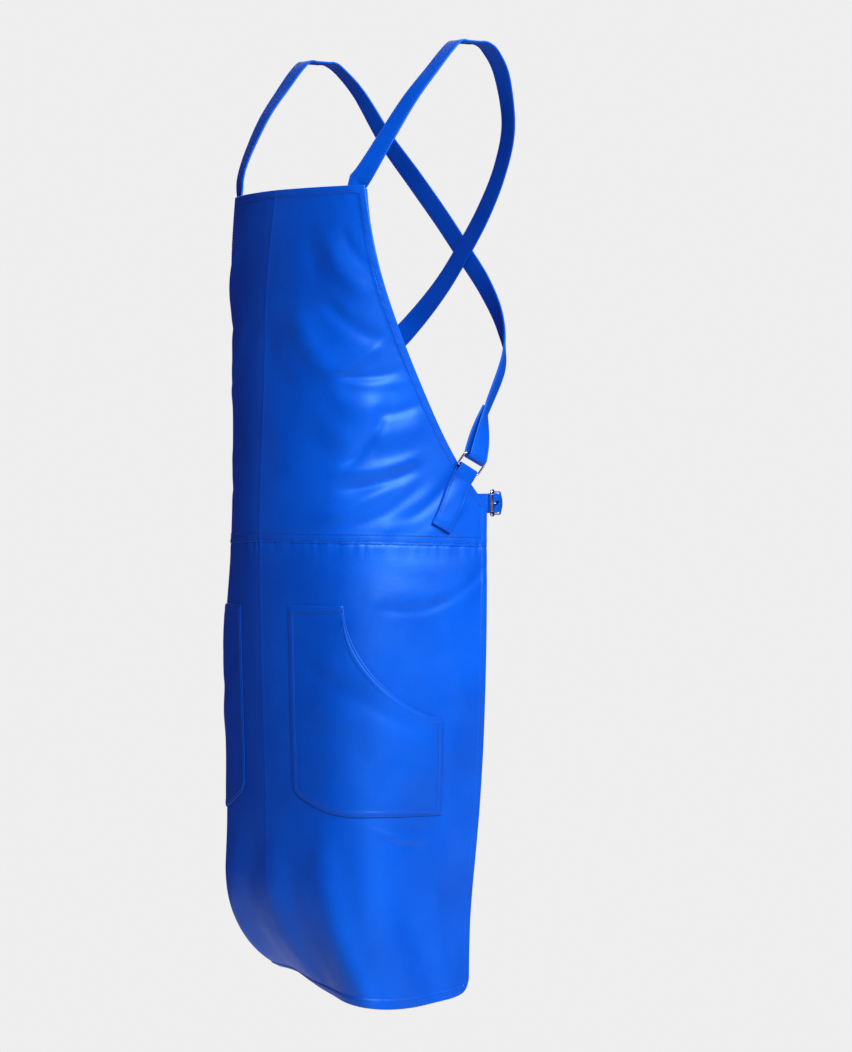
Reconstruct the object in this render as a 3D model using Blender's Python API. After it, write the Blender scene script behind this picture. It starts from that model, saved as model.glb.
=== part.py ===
"""Leather butcher's apron with a full bib, cross-back straps and a waist buckle, in its worn shape.

Metres, +Z up. The wearer faces -Y and +X is the wearer's left. The origin is midway between the
undersides of the two shoulder straps, where they rest on the shoulders.

The panels are laid out in pattern coordinates: s is the distance round the wearer from the centre
front (positive to the wearer's left), z is the height, and out is the distance off the inner face.
"""

import math

import bmesh
import bpy
import numpy as np
from mathutils import Matrix, Quaternion, Vector

# ---- driving dimensions ---------------------------------------------------------------------
LEATHER = 0.0018  # panels and pockets
STRAP_COLUMNS = 3  # points across a strap
STRAP = 0.0022  # doubled strap leather
STRAP_WIDTH = 0.025
WAIST_WIDTH = 0.022
SHOULDER_X = 0.1395  # middle of each strap where it rests on the shoulder
TONGUE_WIDTH = 0.020
GAP = 0.0003
SEWN = 0.0009  # between a panel and what is sewn flat on it

Z_BIB_TOP = -0.160
Z_WAIST_SEAM = -0.5465
Z_HEM = -1.0575
HEM_RISE = 0.012  # the hem is this much higher at the side edges
SEAM_DIP = 0.006  # the waist seam is this much lower at the side edges
HALF_BIB_TOP = 0.125
HALF_WAIST = 0.285
HALF_HEM = 0.292
HEM_CORNER = 0.020

POCKET_INNER_S = 0.044
POCKET_OUTER_S = 0.230
Z_POCKET_TOP = -0.616
Z_POCKET_MOUTH_END = -0.738
Z_POCKET_BOTTOM = -0.845  # over the pocket's outer half
POCKET_BOTTOM_RISE = 0.026  # how much higher the bottom is at the inner edge
POCKET_RISE_WIDTH = 0.085  # the width over which the bottom comes up to that edge
POCKET_CORNER = 0.011  # radius of the inner bottom corner
POCKET_TOP_WIDTH = 0.070  # the straight part of the top edge, before the scooped mouth
POCKET_STAND_OFF = 0.0090  # how far the pocket stands open at the hip
S_POCKET_FLAT = 0.125  # it lies flat on the skirt from its inner edge to here

# Shape of the worn front at eight heights: the front's y, curvature in rad/m, and the extra turn in
# degrees round each hip between S_TURN_START and S_TURN_END.
STATIONS = (
    # z,     y front, curvature, hip turn
    (-0.160, -0.158, 2.7, 25),
    (-0.240, -0.168, 3.1, 25),
    (-0.400, -0.175, 4.3, 25),
    (-0.550, -0.180, 4.6, 20),
    (-0.640, -0.178, 3.2, 37),
    (-0.830, -0.172, 2.6, 54),
    (-0.950, -0.170, 1.5, 74),
    (-1.100, -0.169, 1.2, 80),
)
S_TURN_START = 0.080
S_TURN_END = 0.180
CREASE_TURN = 4.0  # degrees each side of the pressed crease down the centre front
CREASE_WIDTH = 0.010

# Below the knee the wearer's right half curls back under, along an arc.
Z_KNEE = -0.905
KNEE_RADIUS = 0.134
S_CURL_START = -0.090
S_CURL_END = 0.205

TAB_TILT = math.radians(26)  # the ring tabs lean back from upright
LOOP_TILT = math.radians(24)  # and the straps in their rings a little less
TAB_TOP_S = 0.2495
TAB_TOP_Z = -0.4705
TAB_LENGTH = 0.068
RING_WIRE = 0.0013  # radius
RING_INSIDE = 0.0280
RING_CORNER = 0.0026
RING_REACH = 0.0150  # from the bar in the tab to the middle of the far bar
RING_LIFT = math.radians(24)
LOOP_RADIUS = 0.0050  # middle of the strap's turn through the ring
LOOP_LENGTH = 0.058
LOOP_TWIST = math.radians(42)  # how far the strap has turned towards the back at the loop's tip

WAIST_Z = -0.5040
WAIST_HEADING = 133.0  # degrees: how far the waist strap has turned round the body at the buckle
BUCKLE_START = 0.010  # roller axis, from the apron's side edge
BUCKLE_LENGTH = 0.022
BUCKLE_INSIDE = 0.0245
BUCKLE_WIRE = 0.0015
HEEL_OUT = 0.0042
ROLLER_OUT = 0.0052
ROLLER_RADIUS = 0.0026
PRONG_RADIUS = 0.0011
KEEPER_AT = 0.054
TONGUE_END = 0.082


def clear_scene():
    for thing in list(bpy.data.objects):
        bpy.data.objects.remove(thing, do_unlink=True)


def material(name, colour, roughness, metallic=0.0):
    made = bpy.data.materials.new(name)
    made.use_nodes = True
    shader = made.node_tree.nodes["Principled BSDF"]
    shader.inputs["Base Color"].default_value = (*colour, 1.0)
    shader.inputs["Roughness"].default_value = roughness
    shader.inputs["Metallic"].default_value = metallic
    return made


def own_material(thing, kind):
    colour, roughness, metallic = {
        "leather": ((0.004, 0.065, 0.56), 0.42, 0.0),
        "strap": ((0.004, 0.055, 0.50), 0.45, 0.0),
        "steel": ((0.72, 0.72, 0.74), 0.22, 1.0),
    }[kind]
    thing.data.materials.append(material(thing.name + "_" + kind, colour, roughness, metallic))


# ---- the worn shape ----------------------------------------------------------------------------
def smoothstep(t):
    t = np.clip(t, 0.0, 1.0)
    return t * t * (3.0 - 2.0 * t)


def station(column, z):
    """One column of STATIONS at the heights z, on a smooth curve through the stations."""
    rows = np.array(STATIONS)[::-1]
    heights, values = rows[:, 0], rows[:, column]
    slopes = np.gradient(values, heights)
    z = np.clip(z, heights[0], heights[-1])
    i = np.clip(np.searchsorted(heights, z, side="right") - 1, 0, len(heights) - 2)
    step = heights[i + 1] - heights[i]
    t = (z - heights[i]) / step
    return (
        (2 * t**3 - 3 * t**2 + 1) * values[i]
        + (t**3 - 2 * t**2 + t) * step * slopes[i]
        + (3 * t**2 - 2 * t**3) * values[i + 1]
        + (t**3 - t**2) * step * slopes[i + 1]
    )


def heading(s, z):
    """How far the surface has turned from facing the front, in radians, at s >= 0."""
    return (
        math.radians(CREASE_TURN) * (1.0 - np.exp(-s / CREASE_WIDTH))
        + station(2, z) * s
        + np.radians(station(3, z)) * smoothstep((s - S_TURN_START) / (S_TURN_END - S_TURN_START))
    )


def worn(s, z, out=0.0):
    """Points on the worn surface, out metres off its inner face."""
    s, z, out = np.broadcast_arrays(np.asarray(s, float), np.asarray(z, float), np.asarray(out, float))
    steps = 120
    fractions = (np.arange(steps) + 0.5) / steps
    size = np.abs(s)
    turned = heading(size[..., None] * fractions, z[..., None])
    side = np.where(s < 0, -1.0, 1.0)
    turn = heading(size, z)
    x = side * (size * np.cos(turned).mean(axis=-1) + out * np.sin(turn))
    y = station(1, z) + size * np.sin(turned).mean(axis=-1) - out * np.cos(turn)
    drop = np.clip(Z_KNEE - z, 0.0, None)
    curl = 1.0 - smoothstep((s - S_CURL_START) / (S_CURL_END - S_CURL_START))
    y = y + curl * KNEE_RADIUS * (1.0 - np.cos(drop / KNEE_RADIUS))
    lifted = z + curl * (drop - KNEE_RADIUS * np.sin(drop / KNEE_RADIUS))
    return np.stack([x, y, lifted], axis=-1)


def local_frame(s, z, out=0.0):
    """A place on the worn surface and its directions: round the body, up, and outwards."""
    place = Vector(worn(s, z, out))
    turn = float(heading(np.array(abs(s)), np.array(z)))
    side = -1.0 if s < 0 else 1.0
    along = Vector((side * math.cos(turn), math.sin(turn), 0.0))
    outward = Vector((side * math.sin(turn), -math.cos(turn), 0.0))
    return place, along, Vector((0, 0, 1)), outward


# ---- panels --------------------------------------------------------------------------------------
def armhole_half_width(z):
    """Half the bib's width at the heights z: a Bezier armhole, then the straight side edge."""
    t = np.linspace(0.0, 1.0, 200)
    corners = ((HALF_BIB_TOP, Z_BIB_TOP), (0.157, -0.310), (0.214, -0.450), (HALF_WAIST, -0.507))
    weights = ((1 - t) ** 3, 3 * t * (1 - t) ** 2, 3 * t**2 * (1 - t), t**3)
    widths = sum(w * c[0] for w, c in zip(weights, corners))
    heights = sum(w * c[1] for w, c in zip(weights, corners))
    return np.interp(-z, -heights, widths)


def sheet_object(name, inner, outer, kind="leather"):
    """A closed sheet between two grids of points, rows by columns, inner and outer face."""
    rows, columns = inner.shape[:2]
    index = np.arange(rows * columns).reshape(rows, columns)
    shape = bmesh.new()
    verts = [shape.verts.new(p) for p in np.concatenate([inner.reshape(-1, 3), outer.reshape(-1, 3)])]
    far = rows * columns
    for a, b, c, d in zip(index[:-1, :-1].flat, index[1:, :-1].flat, index[1:, 1:].flat, index[:-1, 1:].flat):
        shape.faces.new((verts[a], verts[b], verts[c], verts[d]))
        shape.faces.new((verts[far + d], verts[far + c], verts[far + b], verts[far + a]))
    rim = [*index[0, :-1], *index[:-1, -1], *index[-1, :0:-1], *index[:0:-1, 0]]
    for a, b in zip(rim, rim[1:] + rim[:1]):
        shape.faces.new((verts[a], verts[b], verts[far + b], verts[far + a]))
    bmesh.ops.recalc_face_normals(shape, faces=shape.faces)
    mesh = bpy.data.meshes.new(name)
    shape.to_mesh(mesh)
    shape.free()
    mesh.shade_smooth()
    mesh.set_sharp_from_angle(angle=math.radians(40))
    made = bpy.data.objects.new(name, mesh)
    bpy.context.collection.objects.link(made)
    own_material(made, kind)
    return made


def waist_seam(across):
    """The seam's height, across running from -1 to 1 between the side edges."""
    return Z_WAIST_SEAM - SEAM_DIP * np.abs(across)


def make_bib():
    across = np.linspace(-1.0, 1.0, 31)[None, :]
    down = np.linspace(0.0, 1.0, 22)[:, None]
    z = Z_BIB_TOP + (waist_seam(across) + GAP - Z_BIB_TOP) * down
    s = across * armhole_half_width(z)
    sheet_object("bib", worn(s, z), worn(s, z, LEATHER))


def skirt_half_width(z):
    t = (Z_WAIST_SEAM - z) / (Z_WAIST_SEAM - Z_HEM)
    return HALF_WAIST + (HALF_HEM - HALF_WAIST) * t


def make_skirt():
    across = np.linspace(-1.0, 1.0, 35)[None, :]
    down = np.concatenate([np.linspace(0.0, 0.95, 20), (0.975, 0.99, 1.0)])[:, None]
    hem = Z_HEM + HEM_RISE * np.abs(across) ** 3
    z = waist_seam(across) + (hem - waist_seam(across)) * down
    into_corner = np.clip(HEM_CORNER - (z - hem), 0.0, HEM_CORNER)
    rounding = HEM_CORNER - np.sqrt(HEM_CORNER**2 - into_corner**2)
    s = across * (skirt_half_width(z) - rounding * np.abs(across) ** 12)
    sheet_object("skirt", worn(s, z), worn(s, z, LEATHER))


def pocket_top(s):
    """The pocket's upper edge: straight across, then a scooped mouth down to the outer edge."""
    start = POCKET_INNER_S + POCKET_TOP_WIDTH
    t = np.clip((s - start) / (POCKET_OUTER_S - start), 0.0, 1.0)
    return Z_POCKET_TOP + (Z_POCKET_MOUTH_END - Z_POCKET_TOP) * (1.0 - (1.0 - t) ** 1.9) ** 0.62


def pocket_bottom(s):
    """The pocket's lower edge, which comes up towards its rounded inner corner."""
    rise = POCKET_BOTTOM_RISE * np.clip(1.0 - (s - POCKET_INNER_S) / POCKET_RISE_WIDTH, 0.0, 1.0) ** 2
    into_corner = np.clip(POCKET_CORNER - (s - POCKET_INNER_S), 0.0, POCKET_CORNER)
    rounding = POCKET_CORNER - np.sqrt(POCKET_CORNER**2 - into_corner**2)
    return Z_POCKET_BOTTOM + rise + rounding


def make_pocket(name, side):
    first = POCKET_INNER_S + POCKET_CORNER * np.array((0.0, 0.12, 0.45))
    s = np.concatenate([first, np.linspace(POCKET_INNER_S + POCKET_CORNER, POCKET_OUTER_S, 14)])[None, :]
    v = np.linspace(0.0, 1.0, 12)[:, None]
    top = pocket_top(s)
    z = top + (pocket_bottom(s) - top) * v
    # The pocket is sewn down its two sides and its bottom, and stands open along its mouth.
    fill = smoothstep((s - S_POCKET_FLAT) / 0.045) * smoothstep((POCKET_OUTER_S - s) / 0.032)
    out = LEATHER + SEWN + POCKET_STAND_OFF * fill * smoothstep(3.0 * (1.0 - v))
    sheet_object(name, worn(side * s, z, out), worn(side * s, z, out + LEATHER))


# ---- straps ----------------------------------------------------------------------------------------
def smooth_path(points, spacing):
    """A Catmull-Rom curve through the rows of points, sampled about every spacing metres."""
    points = np.array(points, float)
    padded = np.vstack([2 * points[0] - points[1], points, 2 * points[-1] - points[-2]])
    samples = []
    for a, b, c, d in zip(padded[:-3], padded[1:-2], padded[2:-1], padded[3:]):
        count = max(1, round(float(np.linalg.norm((c - b)[:3])) / spacing))
        for t in np.arange(count) / count:
            samples.append(
                0.5 * (2 * b + (c - a) * t + (2 * a - 5 * b + 4 * c - d) * t**2 + (3 * b - 3 * c + d - a) * t**3)
            )
    samples.append(points[-1])
    return np.array(samples)


def unit(vectors):
    return vectors / np.linalg.norm(vectors, axis=-1, keepdims=True)


def row_pair(middle, face):
    """The inner and outer row of a strap, from its middle row and the way that its face looks."""
    half = np.array(face) * STRAP / 2
    return middle - half, middle + half


def ribbon_rows(path, outward, width):
    """Row pairs of a free strap: path is its middle line, outward the way that its face looks."""
    tangent = unit(np.gradient(path, axis=0))
    outward = unit(outward - (outward * tangent).sum(axis=-1, keepdims=True) * tangent)
    places = np.linspace(-0.5, 0.5, STRAP_COLUMNS)[:, None] * width
    return [
        row_pair(place + places * across, face)
        for place, across, face in zip(path, np.cross(outward, tangent), outward)
    ]


def laid_row(s, z, out, across, width):
    """One row pair of a strap that lies on the worn surface; across is its direction in s and z."""
    places = np.linspace(-0.5, 0.5, STRAP_COLUMNS) * width
    return tuple(
        worn(s + across[0] * places, z + across[1] * places, out + half) for half in (-STRAP / 2, STRAP / 2)
    )


def straight_row(place, across, face, width):
    places = np.linspace(-0.5, 0.5, STRAP_COLUMNS)[:, None] * width
    return row_pair(np.array(place) + places * np.array(across), face)


def strap_object(name, pairs):
    return sheet_object(name, np.array([pair[0] for pair in pairs]), np.array([pair[1] for pair in pairs]), "strap")


def ring_frame(side):
    """Where a ring tab ends: the bar's place, and directions up the tab, along the bar, outwards."""
    place, along, up, outward = local_frame(side * TAB_TOP_S, TAB_TOP_Z, LEATHER)
    reach = (along * math.sin(TAB_TILT) + up * math.cos(TAB_TILT)).normalized()
    bar = (along * math.cos(TAB_TILT) - up * math.sin(TAB_TILT)).normalized()
    axis = place + outward * (SEWN + STRAP + RING_WIRE + GAP + 0.0009) + reach * 0.003
    return axis, reach, bar, outward


def far_bar(side):
    axis, reach, bar, outward = ring_frame(side)
    return axis + (reach * math.cos(RING_LIFT) + outward * math.sin(RING_LIFT)) * RING_REACH


def loop_rows(side):
    """The strap's end loop through the ring: rows of place and outward, from its tip round to its tip."""
    axis, reach, bar, outward = ring_frame(side)
    lean = TAB_TILT - LOOP_TILT
    reach = reach * math.cos(lean) - bar * math.sin(lean)
    inward = math.radians(11)
    reach, outward = reach * math.cos(inward) - outward * math.sin(inward), outward * math.cos(inward) + reach * math.sin(inward)
    middle = far_bar(side) + reach * (LOOP_RADIUS - STRAP / 2 - RING_WIRE - 0.0010)
    tip = middle + reach * LOOP_LENGTH
    half = STRAP / 2 + GAP / 2
    arms = []
    for t in np.linspace(0.0, 1.0, 9):
        spread = half + (LOOP_RADIUS - half) * math.sin(t * math.pi / 2) ** 1.3
        face = outward.copy()
        face.rotate(Quaternion(reach * side, LOOP_TWIST * (1.0 - t) ** 1.5))
        arms.append((tip + (middle - tip) * t, face, spread))
    rows = [(place + face * spread, face) for place, face, spread in arms]
    for angle in np.linspace(0.0, math.pi, 11)[1:]:
        turned = outward * math.cos(angle) - reach * math.sin(angle)
        rows.append((middle + turned * LOOP_RADIUS, turned))
    rows += [(place - face * spread, -face) for place, face, spread in arms[-2::-1]]
    return rows


def make_shoulder_strap(name, side):
    """From behind the bib's corner over the shoulder, across the back and round the other side's ring."""
    behind = -SEWN - STRAP / 2
    sewn_end = []
    for z, inset in ((-0.245, 0.0010), (-0.225, 0.0010), (-0.205, 0.0008), (-0.185, 0.0003), (-0.166, -0.0006)):
        s = float(armhole_half_width(z)) - STRAP_WIDTH / 2 - inset
        sewn_end.append(laid_row(side * s, z, behind, (-1.0, 0.0), STRAP_WIDTH))
    rows = []
    front = (
        # x, y, z, and the outward direction
        (0.1086, -0.1292, -0.1570, (0.46, -0.88, 0.05)),
        (0.1150, -0.1262, -0.1490, (0.42, -0.87, 0.22)),
        (0.1228, -0.1182, -0.1310, (0.34, -0.85, 0.40)),
        (0.1290, -0.1022, -0.1030, (0.24, -0.80, 0.52)),
        (0.1345, -0.0766, -0.0640, (0.14, -0.72, 0.66)),
        (0.1378, -0.0480, -0.0300, (0.05, -0.58, 0.80)),
        (0.1392, -0.0310, -0.0105, (0.02, -0.42, 0.90)),
    )
    for x, y, z, outward in front:
        rows.append((Vector((side * x, y, z)), Vector((side * outward[0], outward[1], outward[2]))))
    # The stretch that rests on the shoulder is level, with its underside at z = 0.
    for y in (-0.018, -0.009, 0.009, 0.018):
        rows.append((Vector((side * SHOULDER_X, y, STRAP / 2)), Vector((0, 0, 1))))
    crossing = 0.0 if side > 0 else STRAP + 2 * GAP + 0.0008  # the right strap lies over the left one
    back = (
        (0.1385, 0.0320, -0.0070, (0.0, 0.34, 0.94)),
        (0.1310, 0.0540, -0.0330, (0.05, 0.72, 0.69)),
        (0.1120, 0.0780, -0.0850, (0.15, 0.93, 0.32)),
        (0.0780, 0.0930, -0.1320, (0.15, 0.98, 0.12)),
        (0.0400, 0.0990 + crossing, -0.1780, (0.06, 1.0, 0.03)),
        (0.0000, 0.1005 + crossing, -0.2200, (0.0, 1.0, 0.0)),
        (-0.0400, 0.0990 + crossing, -0.2600, (-0.08, 1.0, 0.0)),
        (-0.0840, 0.0890, -0.3020, (-0.35, 0.94, 0.0)),
        (-0.1220, 0.0640, -0.3450, (-0.72, 0.69, 0.0)),
    )
    for x, y, z, outward in back:
        rows.append((Vector((side * x, y, z)), Vector((side * outward[0], outward[1], outward[2]))))
    joined = [(*place, *outward) for place, outward in rows]
    loop = [(*place, *outward) for place, outward in loop_rows(-side)]
    path = smooth_path(joined + loop[:1], 0.016)
    path = np.vstack([path, loop[1:]])
    strap_object(name, sewn_end + ribbon_rows(path[:, :3], path[:, 3:], STRAP_WIDTH))


# ---- ring tabs and rings -----------------------------------------------------------------------------
def make_ring_tab(name, side):
    """A strap end folded round the ring's bar and sewn flat on the bib's outer face."""
    axis, reach, bar, outward = ring_frame(side)
    turn_radius = RING_WIRE + GAP + STRAP / 2
    across = (side * math.cos(TAB_TILT), -math.sin(TAB_TILT))

    def laid(t, out):
        s = side * (TAB_TOP_S - math.sin(TAB_TILT) * TAB_LENGTH * t)
        z = TAB_TOP_Z - math.cos(TAB_TILT) * TAB_LENGTH * t
        return laid_row(s, z, out, across, STRAP_WIDTH)

    under = LEATHER + SEWN + STRAP / 2
    rows = [laid(t, under) for t in np.linspace(1.0, 0.0, 9)]
    for angle in np.linspace(0.1, 1.0, 9) * math.pi:
        turned = reach * math.sin(angle) - outward * math.cos(angle)
        rows.append(straight_row(axis + turned * turn_radius, bar, -turned, STRAP_WIDTH))
    rows += [laid(t, under + STRAP + GAP + 0.0004)[::-1] for t in np.linspace(0.14, 1.0, 8)]
    strap_object(name, rows)


def tube_object(name, points, radius, closed, kind="steel", resolution=3):
    """A round wire along points, as a curve with a bevel."""
    curve = bpy.data.curves.new(name, "CURVE")
    curve.dimensions = "3D"
    curve.bevel_depth = radius
    curve.bevel_resolution = resolution
    curve.use_fill_caps = not closed
    spline = curve.splines.new("POLY")
    spline.points.add(len(points) - 1)
    for target, point in zip(spline.points, points):
        target.co = (*point, 1.0)
    spline.use_cyclic_u = closed
    made = bpy.data.objects.new(name, curve)
    bpy.context.collection.objects.link(made)
    own_material(made, kind)
    return made


def rounded_rectangle(width, height, radius, steps=4):
    """Points round a rectangle with round corners, middle at the origin."""
    points = []
    for quarter, (cx, cy) in enumerate(((1, 1), (-1, 1), (-1, -1), (1, -1))):
        for step in range(steps + 1):
            angle = math.pi / 2 * (quarter + step / steps)
            points.append(
                (
                    cx * (width / 2 - radius) + radius * math.cos(angle),
                    cy * (height / 2 - radius) + radius * math.sin(angle),
                )
            )
    return points


def place_on_axis(made, origin):
    """Moves the object's origin to its joint's axis, leaving the shape where it is."""
    made.data.transform(Matrix.Translation(-origin))
    made.location = origin


def make_ring(name, side):
    axis, reach, bar, outward = ring_frame(side)
    lifted = reach * math.cos(RING_LIFT) + outward * math.sin(RING_LIFT)
    width = RING_INSIDE + 2 * RING_WIRE
    points = []
    for across, along in rounded_rectangle(width, RING_REACH, RING_CORNER, 3):
        points.append(axis + bar * across + lifted * (along + RING_REACH / 2))
    made = tube_object(name, points, RING_WIRE, True)
    place_on_axis(made, axis)


# ---- waist strap and buckle -----------------------------------------------------------------------------
def waist_frame():
    """The straight run at the buckle: its start at the apron's edge, and along, outward directions."""
    edge, along, up, outward = local_frame(HALF_WAIST, WAIST_Z, 0.0)
    turn = math.radians(WAIST_HEADING)
    return edge, Vector((math.cos(turn), math.sin(turn), 0)), Vector((math.sin(turn), -math.cos(turn), 0))


def waist_point(along, out, height=0.0):
    edge, backward, outward = waist_frame()
    return edge + backward * along + outward * out + Vector((0, 0, height))


def heel_axis():
    return waist_point(BUCKLE_START + BUCKLE_LENGTH, HEEL_OUT)


def make_tongue():
    """The punched tongue sewn behind the bib's left edge, through the buckle and along the strap."""
    behind = -SEWN - STRAP / 2
    sewn_end = [laid_row(s, WAIST_Z, behind - 0.0006, (0.0, 1.0), TONGUE_WIDTH) for s in (0.252, 0.2655, 0.279)]
    rows = []
    _, backward, outward = waist_frame()
    fold_out = HEEL_OUT + BUCKLE_WIRE + GAP + STRAP
    third_layer = STRAP * 2.5 + GAP * 2
    profile = (
        (0.0030, -0.0016),
        (0.0065, 0.0002),
        (0.0100, ROLLER_OUT - ROLLER_RADIUS - GAP - STRAP / 2 - 0.0001),
        (0.0160, 0.0032),
        (0.0220, 0.0062),
        (0.0270, fold_out + GAP + STRAP / 2 - 0.0004),
        (0.0320, fold_out + GAP + STRAP / 2 + 0.0004),
        (0.0370, fold_out + GAP + STRAP / 2 - 0.0002),
        (0.0430, third_layer + 0.0012),
        (0.0475, third_layer + 0.0002),
        (KEEPER_AT, third_layer),
        (0.0620, third_layer),
        (0.0700, third_layer),
        (TONGUE_END, third_layer),
    )
    for along, out in profile:
        rows.append((*waist_point(along, out), *outward))
    path = smooth_path(rows, 0.004)
    tongue = strap_object("waist_tongue", sewn_end + ribbon_rows(path[:, :3], path[:, 3:], TONGUE_WIDTH))
    cut_slot(tongue, 0.0216, 0.0352, 0.0044, -0.002, 0.016)
    return tongue


def box_cutter(name, along0, along1, out0, out1, height):
    corners = []
    for along in (along0, along1):
        for out in (out0, out1):
            for z in (-height / 2, height / 2):
                corners.append(waist_point(along, out, z))
    mesh = bpy.data.meshes.new(name)
    shape = bmesh.new()
    for corner in corners:
        shape.verts.new(corner)
    bmesh.ops.convex_hull(shape, input=shape.verts)
    bmesh.ops.recalc_face_normals(shape, faces=shape.faces)
    shape.to_mesh(mesh)
    shape.free()
    cutter = bpy.data.objects.new(name, mesh)
    cutter.hide_render = True
    cutter.display_type = "WIRE"
    bpy.context.collection.objects.link(cutter)
    return cutter


def cut_slot(thing, along0, along1, height, out0, out1):
    """Cuts a slot for the prong through thing, whose length runs along the waist."""
    cutter = box_cutter(thing.name + "_slot_cutter", along0, along1, out0, out1, height)
    boolean = thing.modifiers.new("Slot", "BOOLEAN")
    boolean.operation = "DIFFERENCE"
    boolean.object = cutter


def make_waist_strap():
    """From the fold on the buckle's heel bar, round the back, to the bib's right edge."""
    _, backward, outward = waist_frame()
    heel = BUCKLE_START + BUCKLE_LENGTH
    turn_radius = BUCKLE_WIRE + GAP + STRAP / 2
    rows = []
    lapped = STRAP * 1.5 + GAP
    for along, out in ((0.062, lapped), (0.054, lapped), (0.0465, lapped), (0.0415, 0.0043), (0.0370, 0.0062)):
        rows.append((*waist_point(along, out), *(-outward)))
    for angle in np.linspace(0.0, math.pi, 9):
        turned = outward * math.cos(angle) - backward * math.sin(angle)
        rows.append((*(waist_point(heel, HEEL_OUT) + turned * turn_radius), *(-turned)))
    for along in (0.038, 0.046, 0.054, 0.062):
        rows.append((*waist_point(along, STRAP / 2), *outward))
    fold = np.array(rows)
    back = (
        # x, y, and the outward direction
        (0.0750, 0.0800, (0.50, 0.87)),
        (0.0380, 0.0920, (0.22, 0.97)),
        (0.0000, 0.0950, (0.0, 1.0)),
        (-0.0380, 0.0920, (-0.22, 0.97)),
        (-0.0750, 0.0800, (-0.50, 0.87)),
        (-0.1100, 0.0570, (-0.72, 0.69)),
        (-0.1310, 0.0350, (-0.84, 0.54)),
    )
    rows = [tuple(fold[-1])]
    for x, y, face in back:
        rows.append((x, y, WAIST_Z, face[0], face[1], 0.0))
    path = np.vstack([fold[:-1], smooth_path(rows, 0.015)])
    behind = -SEWN - STRAP / 2
    sewn_end = [laid_row(-s, WAIST_Z, behind, (0.0, 1.0), WAIST_WIDTH) for s in (0.288, 0.279, 0.2655, 0.252)]
    strap = strap_object("waist_strap", ribbon_rows(path[:, :3], path[:, 3:], WAIST_WIDTH) + sewn_end)
    cut_slot(strap, heel - 0.0075, heel + 0.0062, 0.0058, -0.004, 0.013)
    return strap


def make_buckle_frame():
    _, backward, outward = waist_frame()
    heel = heel_axis()
    front = waist_point(BUCKLE_START, ROLLER_OUT)
    run = (front - heel).normalized()
    length = (front - heel).length
    points = []
    for across, along in rounded_rectangle(BUCKLE_INSIDE + 2 * BUCKLE_WIRE, length, 0.0032, 3):
        points.append(heel + Vector((0, 0, across)) + run * (along + length / 2))
    made = tube_object("buckle_frame", points, BUCKLE_WIRE, True)
    place_on_axis(made, heel)


def turned_tube(name, middle, length, inner, outer, sides=20):
    """A tube standing along Z."""
    shape = bmesh.new()
    loops = []
    for radius, height in ((inner, -1), (outer, -1), (outer, 1), (inner, 1)):
        ring = []
        for i in range(sides):
            angle = 2 * math.pi * i / sides
            ring.append(shape.verts.new((radius * math.cos(angle), radius * math.sin(angle), height * length / 2)))
        loops.append(ring)
    for lower, upper in zip(loops, loops[1:] + loops[:1]):
        for i in range(sides):
            j = (i + 1) % sides
            shape.faces.new((lower[i], lower[j], upper[j], upper[i]))
    bmesh.ops.recalc_face_normals(shape, faces=shape.faces)
    mesh = bpy.data.meshes.new(name)
    shape.to_mesh(mesh)
    shape.free()
    made = bpy.data.objects.new(name, mesh)
    made.location = middle
    bpy.context.collection.objects.link(made)
    own_material(made, "steel")
    return made


def make_buckle_prong():
    """A wire eye round the heel bar and a straight prong that rests on the roller."""
    _, backward, outward = waist_frame()
    heel = heel_axis()
    eye_radius = BUCKLE_WIRE + GAP + PRONG_RADIUS
    rest = waist_point(BUCKLE_START - 0.0022, ROLLER_OUT + ROLLER_RADIUS + GAP + PRONG_RADIUS + 0.0001)
    points = []
    for angle in np.linspace(math.radians(118), math.radians(430), 16)[::-1]:
        points.append(heel + (-backward * math.cos(angle) + outward * math.sin(angle)) * eye_radius)
    start = points[-1]
    for t in (0.12, 0.3, 0.55, 0.8, 1.0):
        arch = 0.0012 * math.sin(math.pi * t)
        points.append(start + (rest - start) * t + outward * arch)
    made = tube_object("buckle_prong", points, PRONG_RADIUS, False)
    place_on_axis(made, heel)


def make_keeper():
    """A leather band round the strap and the tongue."""
    _, backward, outward = waist_frame()
    inner_out, outer_out = -GAP - 0.0001, 3 * STRAP + 3 * GAP + 0.0004
    middle_out = (inner_out + outer_out) / 2
    wall = 0.0014
    tall = WAIST_WIDTH + 2 * GAP + 0.0008 + wall
    deep = outer_out - inner_out + wall
    rows = []
    outline = rounded_rectangle(tall, deep, 0.0016, 3)
    for across, out in outline + outline[:1]:
        rows.append([waist_point(KEEPER_AT + half, middle_out + out, across) for half in (-0.0045, 0.0045)])
    grid = np.array([[tuple(p) for p in row] for row in rows])
    mesh = bpy.data.meshes.new("strap_keeper")
    count = len(outline)
    points = grid[:-1].reshape(-1, 3)
    faces = [(2 * i, 2 * i + 1, 2 * ((i + 1) % count) + 1, 2 * ((i + 1) % count)) for i in range(count)]
    mesh.from_pydata([tuple(p) for p in points], [], faces)
    made = bpy.data.objects.new("strap_keeper", mesh)
    bpy.context.collection.objects.link(made)
    solid = made.modifiers.new("Thickness", "SOLIDIFY")
    solid.thickness = wall
    solid.offset = 0.0
    solid.use_even_offset = True
    own_material(made, "strap")
    place_on_axis(made, waist_point(KEEPER_AT, 0.0))


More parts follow.
